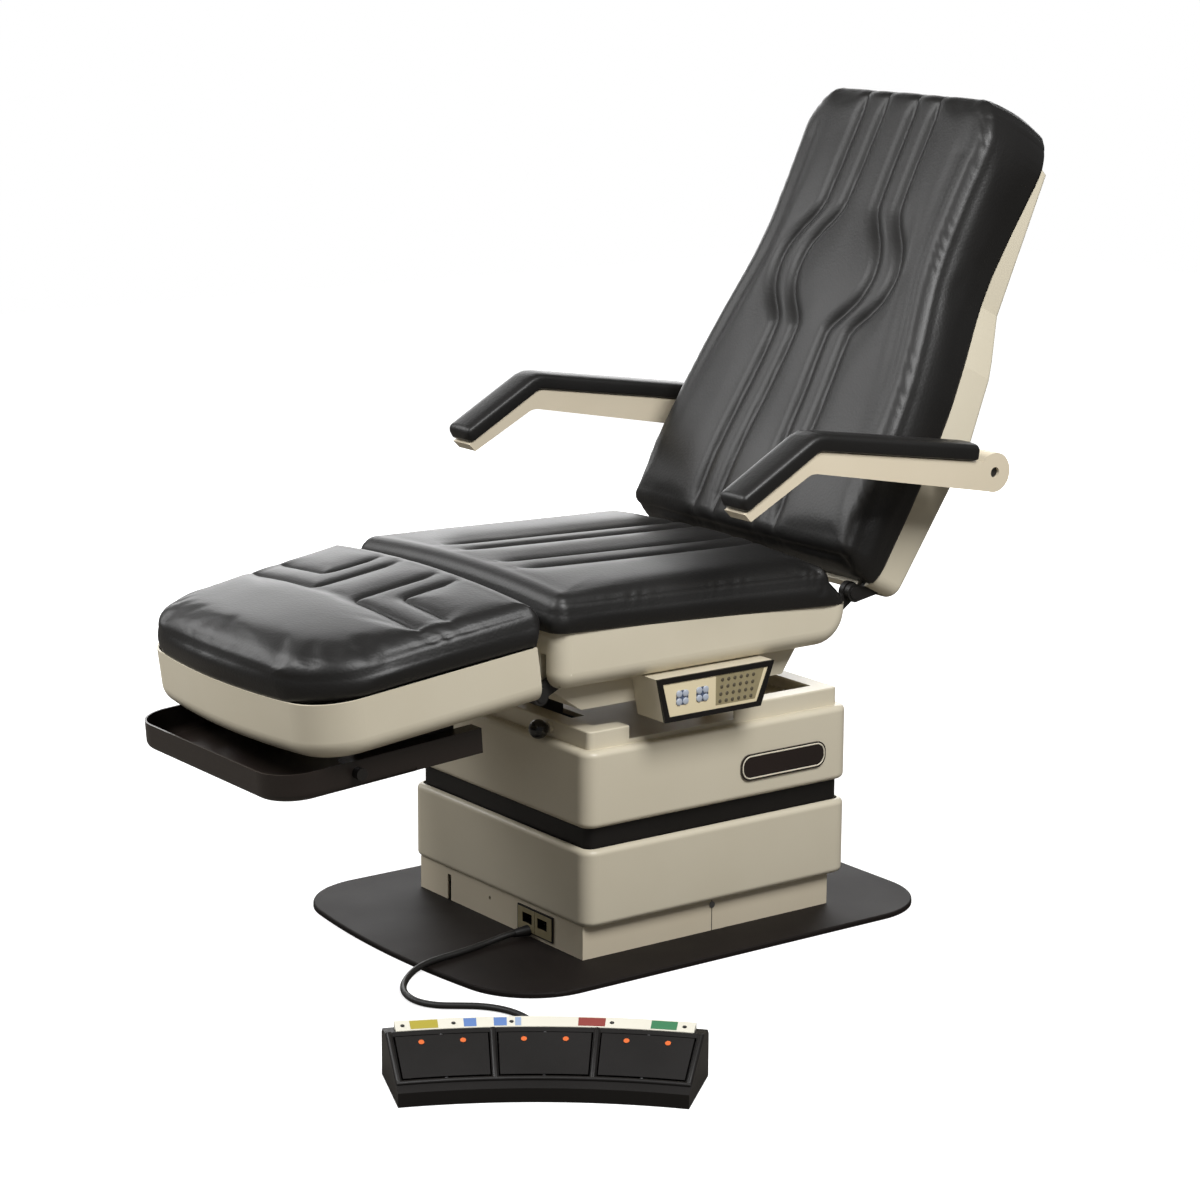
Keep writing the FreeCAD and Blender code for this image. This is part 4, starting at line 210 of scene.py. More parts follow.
class Finishes:
    """Every finish of the chair. A grain finer than a pixel is drawn coarser, so that it shows."""

    # Enamelled ABS moulding: satin cream with the faint orange peel of sprayed paint.
    COVER = Finish("Enamelled_ABS_cream", "#D2CAB6", "#C9C0AA", Surface.POWDERED, 0.42, 5.0, 0.05, coat=0.1)
    # Powder-coated steel of the arm bars and the plinth: a shade warmer and a little rougher.
    BAR = Finish("Powder_coated_steel_cream", "#D6CBB5", "#CDC1A9", Surface.POWDERED, 0.48, 3.0, 0.06)
    # Expanded vinyl: black, embossed with a leather grain, with the grey gloss of a wiped surface.
    VINYL = Finish("Expanded_vinyl_black", "#121110", "#181716", Surface.EMBOSSED, 0.46, 4.0, 0.22, ior=1.42,
                   coat=0.05, spread=0.05)
    # Powder-coated floor plate: dark brown-black, matt, with a coarse texture.
    PLATE = Finish("Powder_coated_steel_brown", "#18120F", "#120D0B", Surface.POWDERED, 0.66, 2.5, 0.12,
                   ior=1.3)
    # Painted chassis steel: plain matt black.
    CHASSIS = Finish("Painted_steel_black", "#12100E", "#1A1816", Surface.POWDERED, 0.55, 4.0, 0.08)
    # Ground steel of rods and tubes: grey with belt lines.
    STEEL = Finish("Ground_steel", "#9C9C9E", "#8A8A8D", Surface.GROUND, 0.32, 1.2, 0.02, metallic=1.0)
    # Moulded ABS of the foot control, the bezel and the shroud stages: grained black.
    ABS = Finish("Moulded_ABS_black", "#0D0B09", "#141110", Surface.MOULDED, 0.45, 1.8, 0.12, ior=1.4)
    # Moulded ABS tray: dark brown, satin.
    TRAY = Finish("Moulded_ABS_brown", "#1E1815", "#27201C", Surface.MOULDED, 0.38, 2.2, 0.08)
    # Phenolic knobs: glossy black.
    PHENOLIC = Finish("Phenolic_black", "#0D0C0C", "#141313", Surface.POLISHED, 0.18, 12.0, 0.02, coat=0.3)
    # Vitreous enamel of the bare badge plate: near black and glossy.
    ENAMEL = Finish("Enamel_dark_brown", "#140C0A", "#1E110E", Surface.POLISHED, 0.22, 15.0, 0.02, coat=0.3)
    # Cream moulded bezel round the badge plate, a shade lighter than the cover.
    TRIM = Finish("Moulded_ABS_cream", "#E2DBC8", "#D9D1BC", Surface.MOULDED, 0.4, 3.0, 0.02)
    # Polyester film of the keypad: pale beige with a fine matt print.
    FILM = Finish("Polyester_film_beige", "#E6D9B8", "#DCCDA8", Surface.MOULDED, 0.42, 2.0, 0.03)
    # Olive-brown of the keypad's key field and the socket frames.
    PRINT = Finish("Polyester_film_olive", "#9C9170", "#877C5E", Surface.MOULDED, 0.45, 2.0, 0.03,
                   mottle=12.0)
    # Extruded PVC of the cord and its sleeves: matt black.
    PVC = Finish("Extruded_PVC_black", "#0F0E0D", "#171615", Surface.MOULDED, 0.5, 3.0, 0.05)
    # Printed polyester label strip of the foot control.
    LABEL = Finish("Printed_polyester_white", "#D8D5C8", "#CBC7B9", Surface.POLISHED, 0.4, 8.0, 0.01)
    # Acrylic indicator lens: orange.
    LENS = Finish("Acrylic_orange", "#D9713F", "#CC5F2C", Surface.POLISHED, 0.2, 6.0, 0.01, ior=1.49,
                  coat=0.3)
    # Keys of moulded silicone, and the blue-grey field under each cluster of round keys. Where that field
    # shows between the keys, its dark blue is painted shade.
    KEY_WHITE = Finish("Silicone_key_white", "#B4BBC6", "#A6ADB9", Surface.POLISHED, 0.4, 4.0, 0.01)
    # Blue-grey key field whose dark colour between the keys is painted shade.
    KEY_FIELD_AND_SHADE = Finish("Key_field_blue_and_shade", "#4E5A72", "#454F66", Surface.POLISHED, 0.4, 4.0, 0.01)
    KEY_GREY = Finish("Silicone_key_grey", "#5C5442", "#4E4738", Surface.POLISHED, 0.45, 4.0, 0.01)
    # Shadow line of an open joint between two sheets.
    JOINT = Finish("Open_joint_shadow", "#171310", "#120F0C", Surface.POLISHED, 0.8, 4.0, 0.01)


@dataclass(frozen=True)
class PrintInk:
    """A printed block of the foot control's label, between two shares of the strip's length."""

    start: float
    end: float
    colour: str
    shade: str

    def finish(self) -> Finish:
        """The ink as a finish named for its colour."""
        name = f"Screen_print_{self.colour[1:]}"
        return Finish(name, self.colour, self.shade, Surface.POLISHED, 0.4, 6.0, 0.01)


def make_piece(name: str, verts: Sequence[Sequence[float]], faces: Sequence[Sequence[int]], finish: Finish,
               sharp: float | None = None) -> Piece:
    """Make a smooth mesh object from points in metres.

    Args:
        name: Name of the piece.
        verts: Points in the row frame.
        faces: Corner numbers of each face.
        finish: Finish of the whole piece.
        sharp: Angle in degrees above which an edge stays sharp.

    Returns:
        The linked object.
    """
    mesh = bpy.data.meshes.new(name)
    mesh.from_pydata([tuple(vert) for vert in verts], [], [tuple(face) for face in faces])
    work = bmesh.new()
    work.from_mesh(mesh)
    bmesh.ops.recalc_face_normals(work, faces=work.faces)
    work.to_mesh(mesh)
    work.free()
    mesh.polygons.foreach_set("use_smooth", [True] * len(mesh.polygons))
    if sharp is not None:
        mesh.set_sharp_from_angle(angle=math.radians(sharp))
    mesh.materials.append(finish.material())
    return link(name, mesh)


def link(name: str, data: bpy.types.ID) -> Piece:
    """Put a mesh, curve, lamp or camera into the scene as an object.

    Args:
        name: Name of the object.
        data: What the object shows.

    Returns:
        The object.
    """
    item = bpy.data.objects.new(name, data)
    bpy.context.scene.collection.objects.link(item)
    return item


def report(piece: Piece, body: str) -> None:
    """Let a piece ride on a body and log it.

    Args:
        piece: Piece of the scene.
        body: Body that carries it.
    """
    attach(piece, body)
    LOG.info("%s rides on %s", piece.name, body)


def skinned(rows: Rows, closed: bool = False) -> Form:
    """Join rows of points into a closed skin.

    Args:
        rows: Rows with the same number of points, each a loop round the form.
        closed: Whether the last row joins the first one; otherwise both ends are capped.

    Returns:
        The points, row after row, and the faces.
    """
    count, total = len(rows[0]), len(rows)
    pairs = [(row * count, (row + 1) % total * count) for row in range(total if closed else total - 1)]
    faces = [(here + i, here + (i + 1) % count, there + (i + 1) % count, there + i)
             for here, there in pairs for i in range(count)]
    if not closed:
        faces.extend(tuple(range(start, start + count)) for start in (0, (total - 1) * count))
    return [vert for row in rows for vert in row], faces


def turned(profile: Points, segments: int) -> Form:
    """Turn a profile about the Z axis into a closed form.

    Args:
        profile: Radius and height pairs from the foot to the top; the ends are capped.
        segments: Steps round the axis.

    Returns:
        Points in the profile's unit and faces.
    """
    turns = [2 * math.pi * step / segments for step in range(segments)]
    return skinned([[Vector((radius * math.cos(turn), radius * math.sin(turn), height)) for turn in turns]
                    for radius, height in profile])


def merged(forms: Sequence[Form]) -> Form:
    """Join several forms into one.

    Args:
        forms: Points and faces of each form.

    Returns:
        All points and all faces.
    """
    verts, faces = [], []
    for points, corners in forms:
        start = len(verts)
        verts.extend(points)
        faces.extend(tuple(start + corner for corner in face) for face in corners)
    return verts, faces


def distance_to(line: Array, across: Array, along: Array) -> Array:
    """Distance of plan points from a polyline.

    Args:
        line: Corner points of the polyline, two columns.
        across: First plan coordinate of the points.
        along: Second plan coordinate of the points.

    Returns:
        Distances in the shape of across.
    """
    best = np.full(across.shape, np.inf)
    for start, end in zip(line[:-1], line[1:]):
        run = end - start
        share = ((across - start[0]) * run[0] + (along - start[1]) * run[1]) / max(float(run @ run), TINY)
        share = np.clip(share, 0, 1)
        gap = np.hypot(across - start[0] - share * run[0], along - start[1] - share * run[1])
        best = np.minimum(best, gap)
    return best


def softened(line: Points, rounds: int) -> Array:
    """Cut the corners of a polyline until it runs smoothly, with its ends kept.

    Args:
        line: Corner points.
        rounds: How often the corners are cut.

    Returns:
        The points of the smoother line, two columns.
    """
    points = np.array(line, float)
    for _ in range(rounds):
        near = points[:-1] * 0.75 + points[1:] * 0.25
        far = points[:-1] * 0.25 + points[1:] * 0.75
        points = np.vstack([points[:1], np.stack([near, far], 1).reshape(-1, 2), points[-1:]])
    return points


def on_slope(low: Pair, high: Pair, share: float, rise: float) -> Pair:
    """Find a place on a slope that is seen in section.

    Args:
        low: Lower edge of the slope.
        high: Upper edge of the slope.
        share: Share of the way up.
        rise: Height square to the slope.

    Returns:
        The place in the section.
    """
    run, climb = high[0] - low[0], high[1] - low[1]
    length = math.hypot(run, climb)
    return low[0] + run * share - climb / length * rise, low[1] + climb * share + run / length * rise


def eased(count: int, even: float) -> Array:
    """Places from -1 to 1 in count steps, closer together at the ends the less even they are."""
    step = np.linspace(-1, 1, count + 1)
    return even * step + (1 - even) * np.sin(step * math.pi / 2)


def bell(offset: Array, half: float) -> Array:
    """A soft bump of height 1 where the offset is 0."""
    return np.exp(-(offset / half) ** 2)


def ramp(offset: Array, length: float) -> Array:
    """A climb from 0 to 1 over a length."""
    return np.clip(offset / length, 0, 1)


def corner_cut(distance: Array, radius: float) -> Array:
    """How much a rounded corner takes off at a distance from its end."""
    near = np.clip(radius - distance, 0, radius)
    return radius - np.sqrt(radius ** 2 - near ** 2)


def doubled(values: Array) -> Array:
    """Put a smooth middle value between each two neighbours of a field's first direction.

    Args:
        values: Values on an even row of places.

    Returns:
        The values with one more between each two.
    """
    before = np.concatenate([values[:1], values[:-2]])
    after = np.concatenate([values[2:], values[-1:]])
    result = np.empty((2 * len(values) - 1, *values.shape[1:]))
    result[::2] = values
    result[1::2] = (9 * (values[:-1] + values[1:]) - before - after) / 16
    return result


def calmed(values: Array) -> Array:
    """Even out a field once along its first direction, which takes out its smallest wrinkles."""
    padded = np.concatenate([values[:1], values, values[-1:]])
    return (padded[:-2] + 2 * padded[1:-1] + padded[2:]) / 4


def both_ways(treat: Callable[[Array], Array], values: Array) -> Array:
    """Treat a field along its first direction and then along its second one."""
    return treat(treat(values).swapaxes(0, 1)).swapaxes(0, 1)


@dataclass
class Cushion:
    """A foam cushion under vinyl, crowned, with drawn-in sides and sewn channels.

    Plan points are given across and along the cushion, and heights stand square to that plan.
    The cover is blown up a little by a cloth simulation, held at its channels and its lower edge.
    The axes say which of across, along and height each axis of the cushion's frame takes, and its sign.
    """

    name: str
    node: str
    body: str
    stand: Spot
    slope: float
    axes: Axes
    start: float
    end: float
    half: float
    side: float
    crown_rise: float
    corners: Pair
    edge_round: float
    lean_by: float
    lean_end: int
    line_rounds: int
    lines: tuple[float, ...] = (52.0, 104.0)
    base: float = 0.0
    rim_gap: float = 0.2
    joined: bool = True
    joint_reach: float = 34.0
    columns: int = 200
    rows: int = 200
    even: float = 0.4
    groove_depth: float = 5.0
    groove_half: float = 10.0
    crease_depth: float = 2.6
    crease_half: float = 2.6
    crease_wave: float = 0.12
    crease_run: float = 9.0
    hold_half: float = 4.0
    end_fade: float = 45.0
    fade_power: float = 0.7
    side_rows: int = 10
    side_bulge: float = 3.0
    side_tuck: float = 1.5
    seam_inset: float = 6.5
    seam_depth: float = 1.4
    seam_half: float = 2.2
    seam_band: float = 9.0
    seam_fade: Pair = (40.0, 40.0)
    seam_end: float = 1.0
    pucker: float = 1.1
    pucker_run: float = 3.7
    gather: float = 0.45
    gather_half: float = 11.0
    pressure: float = 5.0
    swell_cap: float = 7.0
    quality: int = 4
    frames: int = 14
    hold_steps: int = 10
    calm: int = 2

    def waist(self, along: Array) -> Array:
        """Half of the cushion's width at places along it, before its corners are cut."""
        raise NotImplementedError

    def rise(self, along: Array) -> Array:
        """How much higher the top is at places along it."""
        raise NotImplementedError

    def half_lines(self) -> list[Points]:
        """Centre lines of the sewn channels on one half, in plan."""
        raise NotImplementedError

    def bow(self, across: Array, along: Array) -> Array:
        """How far the plan is shifted lengthwise."""
        return np.zeros_like(across)

    def half_width(self, along: Array) -> Array:
        """Half of the cushion's width at places along it."""
        first, last = self.corners
        return self.waist(along) - corner_cut(along - self.start, first) - corner_cut(self.end - along, last)

    def crown(self, across: Array, along: Array) -> Array:
        """Height of the full top before its edges turn down."""
        return self.side + self.rise(along) + self.crown_rise * (1 - (across / self.half) ** 2)

    def rim(self, along: Array) -> Array:
        """Height of the lower edge, flat on the shroud."""
        return np.full(along.shape, self.base + self.rim_gap)

    def place(self, across: Array, along: Array, height: Array) -> Array:
        """Turn plan points and heights into points of the cushion's own frame."""
        plan = (across, along, height)
        return np.stack([plan[source] * sign for source, sign in self.axes], 1)

    def grid(self) -> tuple[Array, Array]:
        """Lay out the plan points of the top, closer together towards the edges.

        Returns:
            Places across and along, one row of points after another.
        """
        line = self.start + (self.end - self.start) * (0.5 + 0.5 * eased(self.rows, self.even))
        across = eased(self.columns, self.even)[None, :] * self.half_width(line)[:, None]
        along = np.repeat(line[:, None], self.columns + 1, 1)
        return across, along + self.bow(across, along)

    def numbers(self, thin: int = 1) -> Array:
        """Numbers of the top's points in their grid, the full one or one thinned to every second point."""
        wide, tall = self.columns // thin + 1, self.rows // thin + 1
        return np.arange(wide * tall).reshape(tall, wide)

    def border(self, thin: int = 1) -> Array:
        """Numbers of the top's border points, in order, for the full or a thinned grid."""
        number = self.numbers(thin)
        return np.concatenate([number[0, :-1], number[:-1, -1], number[-1, :0:-1], number[:0:-1, 0]])

    def skin(self, thin: int = 1) -> list[tuple[int, ...]]:
        """Faces of the closed cushion: its top, its side rows and its flat underside.

        Args:
            thin: 1 for the full grid, 2 for every second point.

        Returns:
            Faces as point numbers, the top's points first and then each side row.
        """
        number = self.numbers(thin)
        quads = np.stack([number[:-1, :-1], number[:-1, 1:], number[1:, 1:], number[1:, :-1]], -1)
        faces = [tuple(quad) for quad in quads.reshape(-1, 4).tolist()]
        last = self.border(thin).tolist()
        count, start = len(last), number.size
        ring = [(i, (i + 1) % count) for i in range(count)]
        for _ in range(self.side_rows // thin):
            here = list(range(start, start + count))
            faces.extend((last[i], last[j], here[j], here[i]) for i, j in ring)
            last, start = here, start + count
        return [*faces, tuple(last)]

    def stitched(self, across: Array, along: Array) -> tuple[Array, Array]:
        """Depth of the sewn channels at plan points, and how firmly each point is held by one.

        Args:
            across: Plan points across the cushion.
            along: Plan points along the cushion.

        Returns:
            Depths in millimetres, and weights from 0 to 1.
        """
        depth, hold = np.zeros(across.shape), np.zeros(across.shape)
        lines = [[(hand * x, y) for x, y in line] for line in self.half_lines() for hand in SIDES]
        for line in (softened(line, self.line_rounds) for line in lines):
            gap = distance_to(line, across, along)
            first, last = (np.hypot(across - x, along - y) for x, y in (line[0], line[-1]))
            fade = ramp(np.minimum(first, last), self.end_fade) ** self.fade_power
            tuck = 1 + self.crease_wave * np.sin((across + along) / self.crease_run)
            valley = self.groove_depth * bell(gap, self.groove_half)
            crease = self.crease_depth * tuck * bell(gap, self.crease_half)
            depth = np.maximum(depth, (valley + crease) * fade)
            hold = np.maximum(hold, bell(gap, self.hold_half) * fade)
        return depth, hold

    def still(self, along: Array) -> Array:
        """How firmly plan points are held beside another cushion that the first edge meets."""
        reach = np.maximum(along - self.start, 0) / self.joint_reach
        return np.exp(-reach ** 4) if self.joined else np.zeros(along.shape)

    def edge_seam(self, across: Array, along: Array, inside: Array) -> Array:
        """Depth of the puckered seam that runs along the turned-down side edges.

        Args:
            across: Plan points across the cushion.
            along: Plan points along the cushion.
            inside: Distances of the points from the plan's border.

        Returns:
            Depths in millimetres.
        """
        run = along + across
        near, far = self.seam_fade
        reach = ramp(along - self.start, near) * ramp(self.seam_end * self.end - along, far)
        lateral = self.half_width(along - self.bow(across, along)) - np.abs(across)
        beside = bell(lateral - inside, self.seam_band) * reach
        # Lengths that don't divide each other keep the pucker from repeating.
        wave = np.sin(run / self.pucker_run + 2.9 * np.sin(run / 41) + np.sin(run / 11))
        wave = wave * (0.45 + 0.55 * np.sin(run / 29))
        depth = self.seam_depth + self.pucker * 0.5 * (1 + wave)
        seam = bell(inside - self.seam_inset, self.seam_half) * depth
        gather = self.gather * wave * bell(inside - self.seam_inset, self.gather_half)
        return (seam + gather) * beside

    def build(self) -> None:
        """Build the cushion's mesh, blow it up, dress it and hang it on its body."""
        across, along = self.grid()
        border = self.border()
        edge = np.stack([across.ravel()[border], along.ravel()[border]], 1)
        inside = distance_to(np.vstack([edge, edge[:1]]), across, along)
        depth, hold = self.stitched(across, along)
        height = self.crown(across, along) - corner_cut(inside, self.edge_round) - depth
        seam = self.edge_seam(across, along, inside)
        points, sunk = ([self.place(across.ravel(), along.ravel(), level.ravel())]
                        for level in (height, height - seam))
        holds = [np.maximum(hold, self.still(along)).ravel()]
        for share in (row / self.side_rows for row in range(1, self.side_rows + 1)):
            wall = self.side_row(edge, height.ravel()[border], share)
            points.append(wall)
            sunk.append(wall)
            holds.append(np.maximum(max(0.0, share * 2 - 1), self.still(edge[:, 1])))
        stand = Matrix.Translation([value * MM for value in self.stand])
        frame = np.array(stand @ Matrix.Rotation(math.radians(self.slope), 4, "X"))
        world, drawn = (np.vstack(rows) * MM @ frame[:3, :3].T + frame[:3, 3] for rows in (points, sunk))
        swell = self.swell(world, np.concatenate(holds))
        piece = make_piece(self.name, (drawn + swell).tolist(), self.skin(), Finishes.VINYL)
        report(piece, self.body)
        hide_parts(self.node)

    def side_row(self, edge: Array, upper: Array, share: float) -> Array:
        """One row of points round the side wall.

        Args:
            edge: Border points of the plan.
            upper: Heights of the border points.
            share: How far down the wall the row is, from 0 to 1.

        Returns:
            Points of the cushion's own frame.
        """
        run = np.roll(edge, -1, 0) - np.roll(edge, 1, 0)
        run = run / np.maximum(np.hypot(run[:, 0], run[:, 1]), TINY)[:, None]
        outward = np.stack([run[:, 1], -run[:, 0]], 1)
        lean = self.lean_by * np.clip(self.lean_end * outward[:, 1], 0, 1)
        height = upper + (self.rim(edge[:, 1] + lean) - upper) * share
        bulge = self.side_bulge * math.sin(math.pi * share) - self.side_tuck * share ** 4
        across, along = (edge + outward * bulge).T
        return self.place(across, along + lean * share, height)

    def swell(self, world: Array, holds: Array) -> Array:
        """Blow the cover up by cloth simulation, on every second point of the grid.

        Args:
            world: Starting points in metres.
            holds: How firmly each point is held, from 0 to 1.

        Returns:
            How far each point moves, in metres, capped.
        """
        number = self.numbers()
        walls = np.arange(number.size, len(world)).reshape(self.side_rows, -1)
        chosen = np.concatenate([number[::2, ::2].ravel(), walls[1::2, ::2].ravel()])
        begun = world[chosen]
        shift = self.blown(begun, holds[chosen]) - begun
        length = np.linalg.norm(shift, axis=1)
        LOG.info("%s swells by %.1f mm at most, %.1f mm on average", self.name, length.max() / MM,
                 length.mean() / MM)
        cap = self.swell_cap * MM
        shift *= (cap * np.tanh(length / cap) / np.maximum(length, TINY))[:, None]
        few = self.numbers(2)
        top, skirt = np.split(shift, [few.size])
        top, skirt = top.reshape(*few.shape, 3), skirt.reshape(self.side_rows // 2, -1, 3)
        for _ in range(self.calm):
            top = both_ways(calmed, top)
            skirt = calmed(skirt.swapaxes(0, 1)).swapaxes(0, 1)
        skirt = np.concatenate([top.reshape(-1, 3)[self.border(2)][None], skirt])
        skirt = both_ways(doubled, np.concatenate([skirt, skirt[:, :1]], 1))[1:, :-1]
        return np.vstack([both_ways(doubled, top).reshape(-1, 3), skirt.reshape(-1, 3)])

    def blown(self, begun: Array, holds: Array) -> Array:
        """Run the simulation on a working copy.

        Args:
            begun: Starting points of the thinned grid, in metres.
            holds: How firmly each point is held, from 0 to 1.

        Returns:
            Where the points end, in metres.
        """
        work = make_piece(f"{self.name}_work", begun.tolist(), self.skin(2), Finishes.VINYL)
        group = work.vertex_groups.new(name="held")
        for step in range(1, self.hold_steps + 1):
            held = np.flatnonzero(np.round(holds * self.hold_steps) == step)
            if len(held):
                group.add(held.tolist(), step / self.hold_steps, "REPLACE")
        cloth = work.modifiers.new("swell", "CLOTH")
        fabric = {"quality": self.quality, "mass": 0.004, "air_damping": 3.0, "tension_stiffness": 25,
                  "compression_stiffness": 25, "shear_stiffness": 10, "bending_stiffness": 0.6,
                  "use_pressure": True, "uniform_pressure_force": self.pressure,
                  "vertex_group_mass": group.name}
        for name, value in fabric.items():
            setattr(cloth.settings, name, value)
        cloth.settings.effector_weights.gravity = 0
        cloth.collision_settings.use_collision = False
        cloth.collision_settings.use_self_collision = False
        scene = bpy.context.scene
        for frame in range(1, self.frames + 1):
            scene.frame_set(frame)
        shown = work.evaluated_get(bpy.context.evaluated_depsgraph_get())
        moved = np.empty(len(begun) * 3)
        shown.data.vertices.foreach_get("co", moved)
        mesh = work.data
        bpy.data.objects.remove(work)
        bpy.data.meshes.remove(mesh)
        scene.frame_set(1)
        return moved.reshape(-1, 3)


@dataclass
class SeatCushion(Cushion):
    """Seat cushion with four lengthwise channels and a sloped rear wall, from its front bottom edge."""

    name: str = "seat_upholstery"
    node: str = "seat_cushion"
    body: str = "seat"
    stand: Spot = (0.0, -305.0, 536.324)
    slope: float = -2.653
    axes: Axes = ((0, 1), (1, 1), (2, 1))
    start: float = 0.0
    end: float = 524.0
    half: float = 276.0
    side: float = 55.0
    crown_rise: float = 13.0
    corners: Pair = (25.0, 13.0)
    edge_round: float = 27.0
    lean_by: float = 36.0
    lean_end: int = 1
    line_rounds: int = 0
    line_front: float = 46.0
    line_rear: float = 4.0
    rear_rise: float = 9.0
    drawn: float = 5.0

    def waist(self, along: Array) -> Array:
        """Drawn in halfway along."""
        return self.half - self.drawn * np.sin(math.pi * along / self.end)

    def rise(self, along: Array) -> Array:
        """Higher towards the back."""
        return self.rear_rise * along / (self.end + self.lean_by)

    def half_lines(self) -> list[Points]:
        """Two straight channels beside the middle."""
        return [[(x, self.line_front), (x, self.end - self.line_rear)] for x in self.lines]


@dataclass
class FootCushion(Cushion):
    """Foot cushion with a bowed front and two nested channels at each side, from the foot hinge."""

    name: str = "foot_upholstery"
    node: str = "foot_cushion"
    body: str = "foot"
    stand: Spot = (0.0, -312.0, 440.0)
    slope: float = 7.5
    axes: Axes = ((0, 1), (1, -1), (2, 1))
    start: float = -3.0
    end: float = 370.0
    half: float = 276.0
    side: float = 146.0
    crown_rise: float = 15.0
    corners: Pair = (18.0, 85.0)
    edge_round: float = 31.0
    lean_by: float = 18.0
    lean_end: int = -1
    line_rounds: int = 2
    line_reach: tuple[float, ...] = (180.0, 128.0)
    line_rear: float = 30.0
    line_bend: Outline = ((0, -16), (5, 0), (22, 2))
    line_out: float = 244.0
    line_slant: float = 4.0
    base: float = 86.0
    half_front: float = 253.0
    drawn: float = 3.0
    front_bow: float = 26.0
    rear_rise: float = 3.0
    groove_depth: float = 3.6
    end_fade: float = 30.0
    seam_fade: Pair = (30.0, 90.0)
    seam_end: float = 0.72

    def share(self, along: Array) -> Array:
        """How far towards the toes places are, from 0 to 1."""
        return (along - self.start) / (self.end - self.start)

    def waist(self, along: Array) -> Array:
        """Tapered towards the toes."""
        share = self.share(along)
        return self.half + (self.half_front - self.half) * share - self.drawn * np.sin(math.pi * share)

    def bow(self, across: Array, along: Array) -> Array:
        """The front edge swells forward in the middle."""
        return self.front_bow * (1 - (across / self.half_front) ** 2) * self.share(along) ** 3

    def rise(self, along: Array) -> Array:
        """A little higher towards the seat."""
        return self.rear_rise * (1 - along / self.end)

    def half_lines(self) -> list[Points]:
        """Nested lines that run from the hinge side and turn out to the side."""
        return [[(x, self.start + self.line_rear), *((x + dx, reach + dy) for dx, dy in self.line_bend),
                 (self.line_out, reach + self.line_slant)] for x, reach in zip(self.lines, self.line_reach)]


@dataclass
class BackCushion(Cushion):
    """Back cushion with a waist and channels that open round a lens at the shoulders, from the back hinge."""

    name: str = "back_upholstery"
    node: str = "back_cushion"
    body: str = "back"
    stand: Spot = (0.0, 288.0, 520.0)
    slope: float = -27.2
    axes: Axes = ((0, 1), (2, -1), (1, 1))
    start: float = 40.0
    end: float = 812.0
    half: float = 280.0
    side: float = 70.0
    crown_rise: float = 9.0
    corners: Pair = (17.0, 0.0)
    edge_round: float = 20.0
    lean_by: float = -20.0
    lean_end: int = -1
    line_rounds: int = 3
    joined: bool = False
    rows: int = 260
    widths: Outline = (
        (20, 281), (150, 281), (252, 277), (330, 268), (402, 254), (460, 240), (506, 230), (560, 225),
        (640, 225), (700, 227), (735, 228), (752, 226), (772, 218), (790, 207), (804, 194), (810, 184),
        (812, 172))
    blend: float = 14.0
    head: float = 30.0
    lumbar: float = 10.0
    lumbar_at: float = 130.0
    lumbar_half: float = 130.0
    valley_inset: float = 46.0
    valley_depth: float = 4.5
    valley_half: float = 17.0
    valley_start: float = 160.0
    valley_fade: Pair = (200.0, 70.0)
    channel: Outline = (
        (0, 40), (-3, 195), (-15, 378), (-10, 400), (29, 442), (43, 490), (33, 536), (-7, 588), (-15, 618),
        (-16, 810))
    rim_low: float = 10.0
    rim_drop: float = 54.0
    rim_start: float = 15.0
    rim_long: float = 755.0
    rim_gap: float = 0.3
    seam_depth: float = 0.0
    pucker: float = 0.25
    calm: int = 9
    swell_cap: float = 5.0
    groove_depth: float = 6.5
    groove_half: float = 11.0
    crease_depth: float = 3.2
    crease_half: float = 3.0
    side_rows: int = 16
    side_bulge: float = 4.0

    def waist(self, along: Array) -> Array:
        """Wide at the hips, drawn in above the ribs, cut off at the top corners.

        Args:
            along: Plan points along the cushion.

        Returns:
            Half widths before the lower corners are cut.
        """
        places, widths = zip(*self.widths)
        width, ahead, behind = (np.interp(place, places, widths) for place in (
            along, np.clip(along + self.blend, 0, self.end), along - self.blend))
        return np.where(along < self.end - self.head, (width * 2 + ahead + behind) / 4, width)

    def rise(self, along: Array) -> Array:
        """Full at the small of the back."""
        return self.lumbar * bell(along - self.lumbar_at, self.lumbar_half)

    def crown(self, across: Array, along: Array) -> Array:
        """Full in the middle, with a soft valley inside the side edges.

        Args:
            across: Plan points across the cushion.
            along: Plan points along the cushion.

        Returns:
            Heights of the top before its edges turn down.
        """
        inset = self.half_width(np.clip(along, self.start, self.end)) - np.abs(across)
        near, far = self.valley_fade
        share = ramp(along - self.valley_start, near) * ramp(self.end - self.head - along, far)
        valley = self.valley_depth * bell(inset - self.valley_inset, self.valley_half) * share
        return super().crown(across, along) - valley

    def rim(self, along: Array) -> Array:
        """On the sloped plane where the shell starts."""
        return -(self.rim_low + self.rim_drop * (along - self.rim_start) / self.rim_long) + self.rim_gap

    def half_lines(self) -> list[Points]:
        """Inner and outer line, opened round a lens."""
        return [[(x + shift, y) for shift, y in self.channel] for x in self.lines]


